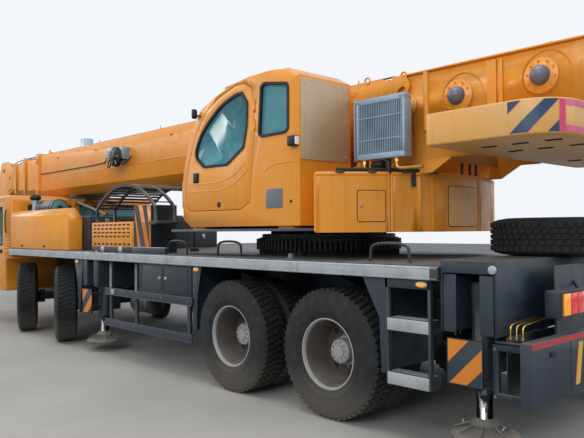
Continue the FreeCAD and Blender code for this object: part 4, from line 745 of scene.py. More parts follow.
def inside_pieces():
    """Seats and dashboards of both cabs."""
    low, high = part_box("crane_cab_interior")
    floor = low.z
    desk = seat("operator_seat", "superstructure", (low.y + high.y) / 2, floor, 0.05, 1.00)
    desk.plate([(0.64, floor), (0.76, floor), (0.84, floor + 0.52), (0.70, floor + 0.60), (0.64, floor + 0.56)],
               0.75, 1.22, 0.012)
    desk.block((0.70, 0.86, floor + 0.60), (0.78, 1.12, floor + 0.74), 0.02, HOSE)
    desk.block((0.692, 0.88, floor + 0.62), (0.70, 1.10, floor + 0.72), 0.004, SLATE)
    for across in (0.88, 0.96, 1.04):
        desk.block((0.50, across, floor), (0.60, across + 0.06, floor + 0.09), 0.01, SEAL, 25)
    desk.done("crane_cab_interior", smooth=35)

    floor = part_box("driver_interior")[0].z
    left, right = [seat("driver_seat_" + word, "chassis", DRIVER * side, floor, 7.00, 0.98)
                   for word, side in SIDES]
    left.plate([(7.85, floor), (7.95, floor + 0.12), (7.95, 1.22), (7.65, 1.28), (7.62, 1.16), (7.78, floor)],
               -1.28, 1.28, 0.015)
    left.plate([(7.64, 1.275), (7.86, 1.235), (7.84, 1.33), (7.68, 1.36)], 0.45, 1.05, 0.02)
    wheel = at(7.50, DRIVER, 1.34)
    left.turned(wheel, (-0.75, 0, 0.66), loop(0.215, 0.016), 40, HOSE)
    for angle in map(math.radians, (90, 210, 330)):
        out = Vector((0.132 * math.sin(angle), 0.2 * math.cos(angle), 0.15 * math.sin(angle)))
        left.bar(wheel, wheel + out, 0.012, sides=10, finish=HOSE)
    left.bar(wheel, (7.74, DRIVER, 1.13), 0.035, finish=HOSE)
    right.done(smooth=35)
    left.done("driver_interior", smooth=35)


DRIVER = 0.7425

# Turntable

HOOD_RADIUS = 1.820
HOOD_TOP = 2.130
CHEEK = 0.605
CHEEK_PROUD = 0.623
WINCHES = (("main", -2.140, 2.750), ("second", -2.870, 2.790))
WEIGHT_FRONT = -2.271
WEIGHT_CORNER = 0.300
WEIGHT_LOW, WEIGHT_HIGH = 2.262, 2.478
TAPE = 0.003


def on_hood(side):
    """Wraps (metres round from straight ahead, proud, up) on the round hoods."""
    def wrap(point):
        angle = point.x / HOOD_RADIUS
        reach = HOOD_RADIUS + point.y
        return at(reach * math.cos(angle), side * reach * math.sin(angle), point.z)
    return wrap


def round_way(angle):
    """Metres round the hoods to an angle in degrees."""
    return math.radians(angle) * HOOD_RADIUS


def on_hood_at(side, angle, proud, up):
    return on_hood(side)(Vector((round_way(angle), proud, up)))


def hood_door(piece, near, far, low, high, side, finish):
    """A flush door with a dark gap round it and a lock."""
    near, far = round_way(near), round_way(far)
    cuts = [near + (far - near) * k / 6 for k in range(1, 6)]
    piece.skin(rect(near - 0.007, low - 0.007, far + 0.007, high + 0.007), 0.0015, cuts, on_hood(side), 0.024,
               SEAL)
    piece.skin(rect(near, low, far, high), 0.004, cuts, on_hood(side), 0.020, finish)
    lock = on_hood(side)(Vector((near + 0.03, 0.004, (low + high) / 2)))
    piece.dome(lock, lock - at(0, 0, lock.z), 0.013, 0.004, STEEL, 16)


def turntable_pieces():
    """The superstructure's plates with hoods, doors, winch bearings, pivot bosses and hoses."""
    whole = Piece("turntable_plates", "superstructure", YELLOW, "body_paint")
    whole.from_node("turntable", 0.0, finishes=[(NAVY, (-1.9, -1.9, 1.58), (1.9, 1.9, 1.648))])
    for side in (1, -1):
        for near, far in ((130.3, 150.8), (151.8, 186.2 if side > 0 else 172.8)):
            whole.pipe([on_hood_at(side, near + (far - near) * k / 10, -0.016, HOOD_TOP - 0.014)
                        for k in range(11)], 0.024)
            for angle in (near, far):
                whole.pipe([on_hood_at(side, angle, -0.012, up) for up in (1.615, HOOD_TOP - 0.02)], 0.016,
                           smooth=False)
        hood_door(whole, 141.8, 149.6, 1.700, 1.968, side, YELLOW)
    hood_door(whole, 171.0, 184.2, 1.655, 2.020, 1, PALE)
    whole.skin(rect(round_way(164.3), 1.610, round_way(169.2), 2.120), 0.012,
               [round_way(164.3 + 1.2 * k) for k in (1, 2, 3)], on_hood(1), 0.012, YELLOW, 0.004)
    # two hoses that lie on the hoods, their trays and bracket
    for shift, up in ((0.0, 2.152), (-0.045, 2.156)):
        whole.pipe([on_hood_at(1, 136 + 2.5 * k, shift - 0.02, up) for k in range(13)], 0.020, HOSE)
    for angle in (137, 146, 156, 165):
        place = on_hood_at(1, angle, -0.04, 2.150)
        whole.block(place - Vector((0.06, 0.06, 0.022)), place + Vector((0.06, 0.06, -0.010)), 0.006, BLACK)
    whole.skin(rect(round_way(157.6), 2.010, round_way(159.0), 2.150), 0.012, [], on_hood(1), 0.004, BLACK)
    # uprights between the hood and the plates above it
    for along, across in ((-1.792, 0.045), (-1.794, -0.085), (-1.788, -0.205)):
        whole.bar((along, across, HOOD_TOP), (along, across, 2.248), 0.014, sides=16, finish=BLACK)
    for side in whole.sides():
        for name, along, up in WINCHES:
            face = CHEEK + 0.040
            whole.cap((along, face, up), OUT, ((0.137, 0.0), (0.137, 0.010), (0.131, 0.014), (0.096, 0.014),
                                               (0.090, 0.022)), 48, YELLOW)
            whole.bolts((along, face + 0.014, up), OUT, 0.114, 10, 0.009, 0.010, YELLOW)
            whole.dome((along, face + 0.020, up), OUT, 0.079, 0.082, SLATE, 40)
            whole.turned((along - 0.02, CHEEK, up), OUT, hoop(0.196, 0.200, 0.006), 56, YELLOW)
        # upright ribs, top flange, front post, stiffener along the lower edge, gusset
        for rear, front in ((-2.478, -2.392), (-2.534, -2.500)):
            whole.block((rear, CHEEK, 2.492), (front, CHEEK_PROUD, 3.000), 0.004)
        whole.block((-3.196, CHEEK - 0.010, 3.020), (-1.435, CHEEK_PROUD + 0.010, 3.036), 0.004)
        whole.bar((-1.795, CHEEK, 2.500), (-1.795, CHEEK, 3.022), 0.030, sides=24)
        whole.block((-3.262, CHEEK, 2.495), (-3.216, CHEEK_PROUD, 2.940), 0.004)
        whole.plate([(0.48, 2.100), (0.52, 2.132), (-0.98, 2.242), (-1.27, 2.925), (-1.31, 2.910),
                     (-1.01, 2.205)], CHEEK, CHEEK_PROUD, 0.004)
        whole.plate([(-1.700, 2.128), (-1.840, 2.128), (-2.050, 2.252), (-1.700, 2.252)], 0.577, 0.603)
        whole.block((-0.95, CHEEK, 1.650), (1.10, CHEEK_PROUD, 1.685), 0.005)
        # boom pivot: boss, keeper with its hook-shaped end and eyes above it
        whole.cap((-1.620, CHEEK + 0.030, 2.750), OUT, ((0.096, 0.0), (0.096, 0.014), (0.088, 0.020),
                                                        (0.060, 0.020), (0.054, 0.034)), 40, YELLOW)
        whole.bolts((-1.620, CHEEK + 0.050, 2.750), OUT, 0.074, 6, 0.008, 0.008)
        whole.plate([(-0.930, 2.900), (-1.500, 3.030), (-1.600, 3.010), (-1.640, 2.930), (-1.610, 2.860),
                     (-1.570, 2.850), (-1.585, 2.915), (-1.550, 2.930), (-1.500, 2.905), (-1.480, 2.850),
                     (-1.400, 2.880), (-0.930, 2.860)], CHEEK + 0.002, CHEEK + 0.034, 0.004, 0.014)
        for along, up in ((-1.130, 3.052), (-1.560, 3.030)):
            whole.turned((along, CHEEK + 0.018, up), OUT, loop(0.030, 0.009), 28, YELLOW)
        # lift cylinder's pin
        whole.cap((-1.070, CHEEK, 1.800), OUT, ((0.105, 0.0), (0.105, 0.014), (0.098, 0.020), (0.062, 0.020),
                                                (0.056, 0.034)), 40, YELLOW)
        whole.bolts((-1.070, CHEEK + 0.020, 1.800), OUT, 0.080, 6, 0.009, 0.009)
    # guard over the second winch
    for low in (0.50, -0.56):
        whole.plate(arc((-2.890, 2.790), 0.325, 0.270, 38, 8, 14)
                    + arc((-2.890, 2.790), 0.313, 0.258, 142, -8, 14), low, low + 0.06)
    whole.done("turntable")

    ring = Piece("slewing_teeth", "chassis", IRON, "chassis_paint")
    ring.cap((0, 0, 1.500), UP, ((0.795, 0.0), (0.795, 0.045), (0.760, 0.050), (0.760, 0.084)), 96)
    for number in range(96):
        turn = Matrix.Rotation(math.tau * number / 96, 4, "Z")
        ring.add(brick(Matrix.Translation(at(0, 0, 1.475)) @ turn @ Matrix.Translation((0.808, 0, 0))
                       @ scaled(0.034, 0.022, 0.120)))
    ring.bolts((0, 0, 1.584), UP, 0.735, 36, 0.014, 0.005)
    ring.done(smooth=35)


def winch_pieces():
    """Drums with their wound rope and flanges."""
    flange = ((0.0, -0.5747), (0.100, -0.5747), (0.100, -0.540), (0.246, -0.540), (0.254, -0.535),
              (0.254, -0.520), (0.246, -0.515), (0.150, -0.512))
    pitch, count = 0.024, 42
    half = count * pitch / 2
    turns = [(radius, (number + 0.5) * pitch - half + away) for number in range(count)
             for radius, away in ((0.184, -0.011), (0.193, -0.006), (0.196, 0), (0.193, 0.006), (0.184, 0.011))]
    for name, along, up in WINCHES:
        drum = Piece("drum_" + name, "winch_" + name, STEEL, "drum_steel")
        drum.turned((along, 0, up), OUT, flange + tuple((radius, -away) for radius, away in reversed(flange)), 48,
                    YELLOW)
        drum.turned((along, 0, up), OUT, [(0.150, -half), *turns, (0.150, half), (0.150, -half)], 40, ROPE)
        for place in (-0.544, 0.540):
            drum.bolts((along, place, up), OUT, 0.170, 12, 0.010, 0.004)
        drum.done("winch_drum_" + name, smooth=35)


def on_weight(side):
    """Wraps (metres back from the counterweight's front edge, proud, up) on its side and rear."""
    flat = WEIGHT_FRONT + 3.020
    turn = WEIGHT_CORNER * math.pi / 2

    def wrap(point):
        away, proud, up = point
        if away <= flat:
            return at(WEIGHT_FRONT - away, side * (1.35 + proud), up)
        if away <= flat + turn:
            angle = (away - flat) / WEIGHT_CORNER
            reach = WEIGHT_CORNER + proud
            return at(-3.02 - reach * math.sin(angle), side * (1.05 + reach * math.cos(angle)), up)
        return at(-3.32 - proud, side * (1.05 - (away - flat - turn)), up)
    return wrap


def counterweight_pieces():
    """The slab with its slanted stripes, tape border, lifting eyes, and dark blocks underneath: painted shade
    standing in for the lifting and bolt holes in its underside.
    """
    slab = Piece("weight_slab", "superstructure", PALE, "weight_paint")
    slab.from_node("counterweight", 0.014, segments=3)
    cuts = [0.749 + 0.0471 * k for k in range(11)]
    low, high = WEIGHT_LOW, WEIGHT_HIGH
    stripes = [(BLUE_TAPE, outline) for outline in
               (((0.698, 2.400), (0.790, high), (0.698, high)),
                ((0.712, low), (0.834, low), (1.034, high), (0.940, high)),
                ((0.960, low), (1.034, low), (1.034, 2.338)))]
    stripes += [(PINK_TAPE, rect(*corners)) for corners in
                ((1.038, low, 1.082, high), (1.082, 2.436, 2.271, high), (1.082, low, 2.271, 2.304))]
    stripes += [(BLUE_TAPE, slant(foot, 0.075, 0.100, 2.310, 2.430)) for foot in (1.45, 1.62, 1.79, 1.96)]
    for side in slab.sides():
        for finish, outline in stripes:
            slab.skin(outline, TAPE, cuts, on_weight(side), 0.0, finish)
        for along in (-2.45, -2.95):
            slab.bar((along, 1.02, 2.484), (along, 1.02, 2.4915), 0.052, sides=32, edge=0.002)
            slab.turned((along, 1.02, 2.4915), OUT, loop(0.030, 0.009), 28, IRON)
    # dark blocks on the underside: painted shade standing in for lifting and bolt holes
    for along in (-2.60, -2.85, -3.10):
        for across in (-0.95, -0.55, 0.55, 0.95):
            slab.block((along - 0.060, across - 0.020, 2.2435), (along + 0.060, across + 0.020, 2.252), 0.004,
                       SEAL)
    slab.done("counterweight")


def cooler_pieces():
    """The oil cooler: end tanks, upright fins, a shroud with its fan, pipes and legs."""
    cooler = Piece("cooler_core", "superstructure", COOLER, "cooler_grey")
    rear, front, inn, out = -1.805, -1.265, 0.842, 0.948
    cooler.block((rear + 0.02, inn + 0.012, 2.300), (front - 0.02, out - 0.022, 2.750), 0.0, SLATE)
    for up in (2.250, 2.746):
        cooler.block((rear, inn, up), (front, out, up + 0.052), 0.006)
    for along in (rear, front - 0.028):
        cooler.block((along, inn, 2.290), (along + 0.028, out, 2.756), 0.004)
    for number in range(24):
        along = rear + 0.032 + (front - rear - 0.064) * (number + 0.5) / 24
        for near, far in ((out - 0.024, out - 0.004), (inn + 0.004, inn + 0.014)):
            cooler.block((along - 0.0035, near, 2.300), (along + 0.0035, far, 2.748))
    for up in (2.42, 2.62):
        cooler.block((rear + 0.03, out - 0.010, up), (front - 0.03, out - 0.003, up + 0.008))
    cooler.block((front + 0.012, inn + 0.006, 2.245), (front + 0.020, out + 0.006, 2.800), 0.002)
    for up in (2.32, 2.70):
        cooler.block((front - 0.002, inn + 0.02, up), (front + 0.014, out - 0.03, up + 0.02), 0.0, STEEL)
    for along in (rear + 0.04, front - 0.04):
        for up in (2.262, 2.772):
            cooler.dome((along, out, up), OUT, 0.012, 0.006, STEEL, 12)
    fan = at((rear + front) / 2, inn + 0.001, 2.525)
    cooler.turned(fan, (0, -1, 0), hoop(0.205, 0.212, 0.045), 48, BLACK)
    cooler.cap(fan, (0, -1, 0), ((0.060, 0.0), (0.056, 0.040)), 24, BLACK, 0.044)
    for number in range(7):
        turn = Matrix.Rotation(math.tau * number / 7, 4, "Y")
        cooler.add(brick(Matrix.Translation(fan - Vector((0, 0.022, 0))) @ turn
                         @ Matrix.Translation((0.125, 0, 0)) @ Matrix.Rotation(0.6, 4, "X")
                         @ scaled(0.150, 0.004, 0.070)), finish=BLACK)
    for along in (-1.600, -1.340):
        cooler.block((along, 0.860, 2.130), (along + 0.040, 0.900, 2.252), 0.004, BLACK)
    for along, end in ((-1.330, -1.510), (-1.690, -1.940)):
        cooler.bar((along, 0.905, 2.215), (along, 0.905, 2.252), 0.026, sides=6, finish=BRASS)
        cooler.pipe([(along, 0.905, 2.225), (along, 0.905, 2.185), (along - 0.02, 0.900, 2.160),
                     (along - 0.12, 0.890, 2.157), (end, 0.880, 2.157)], 0.017, BRASS)
    cooler.bar((-1.42, 0.895, 2.200), (-1.54, 0.895, 2.200), 0.042, sides=24, edge=0.006, finish=HOSE)
    cooler.done("oil_cooler")


# The boom

BOOM_SIDE = 0.420
BOOM_TOP = 3.112
ROPE_SIDES = (0.050, -0.050)
ROPE_LINE = 3.205
ROPE_BACK = -1.000
ROPE_RADIUS = 0.010
BOOM_MOUTH, MOUTH_1, MOUTH_2 = 7.300, 8.080, 8.680
SECTIONS = (("section_1", 0.380, 2.330, 3.060, 8.130), ("section_2", 0.340, 2.370, 3.020, 8.730))


def collar(piece, face, low, high, along):
    """Fittings of a boom section's front collar: slide-pad keepers with their bolts."""
    near, middle, far = along - 0.085, along - 0.050, along - 0.015
    for side in piece.sides():
        for up in (low + 0.14, high - 0.14):
            piece.block((near, face, up - 0.060), (far, face + 0.018, up + 0.060), 0.005)
            for step in (-0.036, 0.036):
                piece.bolt((middle, face + 0.018, up + step), OUT, 0.010, 0.009)
    for across in (-0.16, 0.16):
        piece.block((near, across - 0.070, high), (far, across + 0.070, high + 0.018), 0.005)
        for step in (-0.042, 0.042):
            piece.bolt((middle, across + step, high + 0.018), UP, 0.010, 0.009)


def reel_pieces(boom):
    """The cable reel on the boom's left side: motor box, dark drum and the loops that hang from it."""
    boom.block((3.80, 0.415, 2.74), (4.15, 0.552, 2.93), 0.010, COOLER)
    boom.block((4.145, 0.415, 2.78), (4.362, 0.522, 2.95), 0.010, COOLER)
    for up in (2.80, 2.84, 2.88):
        boom.block((4.18, 0.519, up), (4.33, 0.524, up + 0.012), 0.002, HOSE)
    centre = at(3.96, 0.540, 2.780)
    boom.cap(centre, OUT, ((0.150, 0.0), (0.154, 0.004), (0.150, 0.010), (0.112, 0.012), (0.110, 0.050),
                           (0.150, 0.052), (0.154, 0.057), (0.150, 0.064), (0.060, 0.064), (0.055, 0.076)), 44,
             HOSE)
    for number in range(6):
        turn = Matrix.Rotation(math.tau * number / 6, 3, "Y")
        near, far = [centre + turn @ Vector((reach, 0.0655, 0)) for reach in (0.070, 0.140)]
        boom.bar(near, far, 0.006, sides=10, finish=STEEL)
    for start, low, far in ((4.06, 2.66, 4.30), (4.09, 2.62, 4.42), (3.86, 2.64, 3.70)):
        middle = (start + far) / 2
        boom.pipe([(start, 0.575, 2.76), (start + (middle - start) * 0.3, 0.570, low + 0.03),
                   (middle, 0.550, low), (far - (far - middle) * 0.3, 0.500, low + 0.06),
                   (far, 0.440, 2.78)], 0.010, HOSE)
    boom.pipe([(4.362, 0.47, 2.87), (4.44, 0.465, 2.86), (4.52, 0.445, 2.78), (4.60, 0.432, 2.74),
               (6.2, 0.431, 2.74), (7.20, 0.431, 2.74)], 0.009, HOSE)


def boom_pieces():
    """The boom's box sections with collars, seams, guides, lamps, reel and head."""
    boom = Piece("boom_shell", "boom", YELLOW, "body_paint")
    boom.from_node("boom_base", 0.010, 0.10, [(COOLER, (5.60, 0.100, 3.102), (5.80, 0.320, 3.300)),
                                              (COOLER, (3.78, 0.4205, 2.720), (4.38, 0.5400, 2.960)),
                                              (COOLER, (3.78, 0.4205, 2.930), (4.38, 0.5600, 2.960)),
                                              (HOSE, (3.80, 0.5402, 2.620), (4.12, 0.6100, 2.960))])
    for side in boom.sides():
        boom.bar((-0.55, BOOM_SIDE, 2.660), (7.24, BOOM_SIDE, 2.660), 0.006, sides=8)
        boom.plate([(-1.02, 2.42), (-0.30, 2.42), (-0.05, 2.66), (-0.05, 2.92), (-0.35, 3.04), (-1.02, 3.04)],
                   BOOM_SIDE, BOOM_SIDE + 0.012, 0.004, 0.05)
        boom.plate([(1.05, 2.43), (2.20, 2.43), (2.05, 2.56), (1.20, 2.56)], BOOM_SIDE, BOOM_SIDE + 0.010,
                   0.003, 0.04)
        for along in (1.10, 2.60, 4.90, 6.40):
            boom.block((along, BOOM_SIDE, 2.985), (along + 0.07, BOOM_SIDE + 0.014, 3.010), 0.004)
            boom.bolt((along + 0.035, BOOM_SIDE + 0.014, 2.997), OUT, 0.008, 0.006)
        boom.cap((1.600, 0.111, 2.200), OUT, ((0.070, 0.0), (0.070, 0.012), (0.064, 0.016)), 28)
    collar(boom, BOOM_SIDE + 0.040, 2.250, 3.140, 7.350)
    # rope guide and its roller on the front collar
    for across in (-0.21, 0.21):
        boom.plate([(7.262, 3.135), (7.338, 3.135), (7.330, 3.232), (7.270, 3.232)], across - 0.010,
                   across + 0.010, 0.003, 0.02)
    boom.bar((7.300, -0.20, 3.172), (7.300, 0.20, 3.172), 0.022, sides=24, edge=0.003, finish=STEEL)
    # lifting eyes, and two hoses in their clips
    for along in (-0.40, 3.00, 6.60):
        for across in (-0.33, 0.33):
            boom.turned((along, across, 3.098), OUT, loop(0.032, 0.010), 28)
    for along in (0.9, 2.2, 3.6, 4.9, 6.2):
        boom.block((along, -0.40, 3.099), (along + 0.03, -0.24, 3.118), 0.004)
        boom.bar((along + 0.015, -0.32, 3.106), (along + 0.015, -0.32, 3.140), 0.007, sides=10, finish=STEEL)
    boom.pipe([(-0.9, -0.28, BOOM_TOP), (1.0, -0.28, BOOM_TOP), (4.0, -0.285, BOOM_TOP), (7.2, -0.28, BOOM_TOP)],
              0.012, HOSE)
    boom.pipe([(-0.9, -0.31, BOOM_TOP), (1.2, -0.305, BOOM_TOP), (4.2, -0.31, BOOM_TOP), (7.2, -0.31, BOOM_TOP)],
              0.009, HOSE)
    # working lamp on its bracket
    boom.block((5.640, 0.120, 3.098), (5.760, 0.300, 3.118), 0.004)
    boom.bar((5.700, 0.210, 3.110), (5.700, 0.210, 3.165), 0.012, sides=16)
    boom.block((5.655, 0.125, 3.160), (5.745, 0.295, 3.278), 0.018, COOLER)
    boom.plate(rect(0.138, 3.172, 0.282, 3.266), 5.648, 5.657, 0.002, 0.010, GLASS, front_view)
    boom.ring(rect(0.132, 3.166, 0.288, 3.272), 0.010, 5.646, 5.658, 0.010, SEAL, front_view)
    reel_pieces(boom)
    # bosses round the pivot
    for side in boom.sides():
        boom.cap((-1.620, BOOM_SIDE, 2.750), OUT, ((0.135, 0.0), (0.135, 0.040), (0.126, 0.048)), 44)
    # ropes along the top and their guides
    for across in ROPE_SIDES:
        boom.bar((ROPE_BACK, across, ROPE_LINE), (BOOM_MOUTH, across, ROPE_LINE), ROPE_RADIUS, sides=10,
                 finish=ROPE)
    for along in (-0.60, 1.40, 3.40, 5.40):
        boom.block((along, -0.16, 3.099), (along + 0.05, 0.12, BOOM_TOP), 0.003)
        for across in (-0.15, 0.11):
            boom.bar((along + 0.025, across, 3.105), (along + 0.025, across, 3.235), 0.008, sides=10)
        boom.bar((along + 0.025, -0.15, 3.184), (along + 0.025, 0.11, 3.184), 0.011, sides=16, finish=STEEL)
    boom.done("boom_base")

    for word, side, low, high, front in SECTIONS:
        piece = Piece("boom_" + word + "_shell", word, YELLOW, "body_paint")
        piece.from_node("boom_" + word, 0.008, 0.20)
        collar(piece, side + 0.020, low - 0.02, high + 0.02, front)
        for across in (-0.17, 0.17):
            piece.plate([(front - 0.085, high + 0.02), (front - 0.015, high + 0.02), (front - 0.020, ROPE_LINE),
                         (front - 0.080, ROPE_LINE)], across - 0.008, across + 0.008, 0.003, 0.02)
        piece.bar((front - 0.050, -0.165, ROPE_LINE - 0.030), (front - 0.050, 0.165, ROPE_LINE - 0.030), 0.020,
                  edge=0.003, finish=STEEL)
        piece.done("boom_" + word)
    head_piece()
    rope_spans()


def head_piece():
    """The last section with its head: pin ends, keeper bolts and rope guards."""
    piece = Piece("boom_section_3_shell", "section_3", YELLOW, "body_paint")
    piece.from_node("boom_section_3", 0.008, 0.20)
    for side in piece.sides():
        for along, up, radius in ((9.850, 2.270, 0.085), (9.550, 3.000, 0.060), (9.180, 2.560, 0.050),
                                  (9.180, 2.820, 0.050)):
            piece.cap((along, 0.305, up), OUT, ((radius, 0.0), (radius, 0.010), (radius * 0.92, 0.014),
                                                (radius * 0.55, 0.014), (radius * 0.5, 0.024)), 32)
            piece.bolts((along, 0.317, up), OUT, radius * 0.74, 6, radius * 0.10, 0.008)
        piece.block((9.905, 0.305, 2.235), (9.985, 0.315, 2.305), 0.003, STEEL)
    for along, up in ((10.040, 2.330), (9.700, 2.095), (10.000, 2.120)):
        piece.bar((along, -0.270, up), (along, 0.270, up), 0.012, sides=14, finish=STEEL)
    piece.done("boom_section_3")


def rope_spans():
    """The hoist ropes where they cross a joint: from the drums to the boom, and between its sections."""
    ropes = Piece("hoist_ropes_at_pivot", "superstructure", ROPE, "drum_steel")
    for across, along, up in ((0.05, -2.880, 2.996), (-0.05, -2.160, 2.955)):
        near, far = at(along, across, up), at(ROPE_BACK, across, ROPE_LINE)
        ropes.pipe([near.lerp(far, k / 14) - Vector((0, 0, 0.05 * k / 14 * (1 - k / 14))) for k in range(15)],
                   ROPE_RADIUS, smooth=False)
    ropes.done(smooth=35, between=("superstructure", "boom", at(-1.90, 0, 3.10),
                                   at(ROPE_BACK - 0.02, 0, ROPE_LINE)))
    for number, one, other, near, far in ((1, "boom", "section_1", BOOM_MOUTH, MOUTH_1),
                                          (2, "section_1", "section_2", MOUTH_1, MOUTH_2)):
        span = Piece("hoist_ropes_span_%d" % number, one, ROPE, "drum_steel")
        for across in ROPE_SIDES:
            span.pipe([(near + (far - near) * k / 8, across, ROPE_LINE) for k in range(9)], ROPE_RADIUS,
                      smooth=False)
        span.done(smooth=35, between=(one, other, at(near, 0, ROPE_LINE), at(far, 0, ROPE_LINE)))
    span = Piece("hoist_ropes_head", "section_3", ROPE, "drum_steel")
    for across in ROPE_SIDES:
        span.pipe(beside(across, (MOUTH_2, ROPE_LINE), (9.00, ROPE_LINE), (9.30, 3.195), (9.45, 3.174),
                         (9.56, 3.163), (9.66, 3.130), (9.715, 3.060), (9.80, 2.900), (10.020, 2.430),
                         (10.045, 2.330), (10.048, 2.270)), ROPE_RADIUS)
    span.done(smooth=35, between=("section_2", "section_3", at(MOUTH_2, 0, ROPE_LINE), at(9.20, 0, ROPE_LINE)))


def hook_pieces():
    """The hook block: cheeks with stripes, sheave pins, the forged hook with its latch."""
    block = Piece("hook_block_shell", "hook", YELLOW, "hook_steel")
    block.from_node("hook_block", 0.004, 0.08, [(ROPE, (9.60, -0.2, 1.672), (10.1, 0.2, 2.6))])
    face = 0.140
    for side in block.sides():
        block.cap((9.850, face, 1.520), OUT, ((0.070, 0.0), (0.070, 0.008), (0.064, 0.012)), 32, STEEL)
        block.bolts((9.850, face + 0.010, 1.520), OUT, 0.048, 6, 0.008, 0.008)
        for foot in (9.675, 9.795, 9.915):
            block.plate(slant(foot, 0.050, 0.050, 1.300, 1.390), face, face + 0.003, finish=BLACK)
    block.bar((9.850, 0, 1.238), (9.850, 0, 1.180), 0.050, sides=6, edge=0.004, finish=STEEL)
    block.bar((9.985, 0, 1.130), (9.930, 0, 1.005), 0.008, sides=10, finish=STEEL)
    block.done("hook_block", smooth=50)


def lift_pieces():
    """The lift cylinder: barrel with its end rings, ports and pipe, and the chromed rod."""
    foot, eye = at(-1.070, 0, 1.800), at(1.600, 0, 2.200)
    way = (eye - foot).normalized()
    end = (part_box("lift_barrel")[1].x - foot.x) / way.x

    def on(away, beside=0.0):
        return foot + way * away + Vector((0, beside, 0))

    barrel = Piece("lift_barrel_shell", "lift_barrel", YELLOW, "body_paint")
    barrel.from_node("lift_barrel", 0.004, 0.30)
    for near, far, radius in ((end - 0.105, end - 0.012, 0.134), (end - 0.030, end - 0.004, 0.122)):
        barrel.bar(on(near), on(far), radius, sides=40, edge=0.005)
    for turn in range(8):
        out = Matrix.Rotation(math.tau * turn / 8, 3, way) @ way.orthogonal().normalized() * 0.128
        barrel.bar(on(end - 0.108) + out, on(end - 0.100) + out, 0.009, sides=6, finish=STEEL)
    for near in (0.30, end - 0.18):
        barrel.bar(on(near, 0.11), on(near, 0.150), 0.024, sides=16, finish=STEEL)
    barrel.pipe([on(end - 0.18, 0.152), on(end - 0.26, 0.156), on(1.2, 0.140), on(0.40, 0.140), on(0.31, 0.152)],
                0.011, STEEL)
    for near in (0.55, 1.25):
        barrel.bar(on(near), on(near + 0.035), 0.131, sides=40, edge=0.003, finish=BLACK)
    barrel.done("lift_barrel")
    rod = Piece("lift_rod_shell", "lift_rod", CHROME, "jack_chrome")
    rod.from_node("lift_rod", 0.003, 0.30)
    rod.cap(eye - way * 0.165, way, ((0.078, -0.020), (0.084, -0.014), (0.084, 0.014), (0.078, 0.020)), 32, YELLOW)
    rod.done("lift_rod")


# The deck and what stands on it


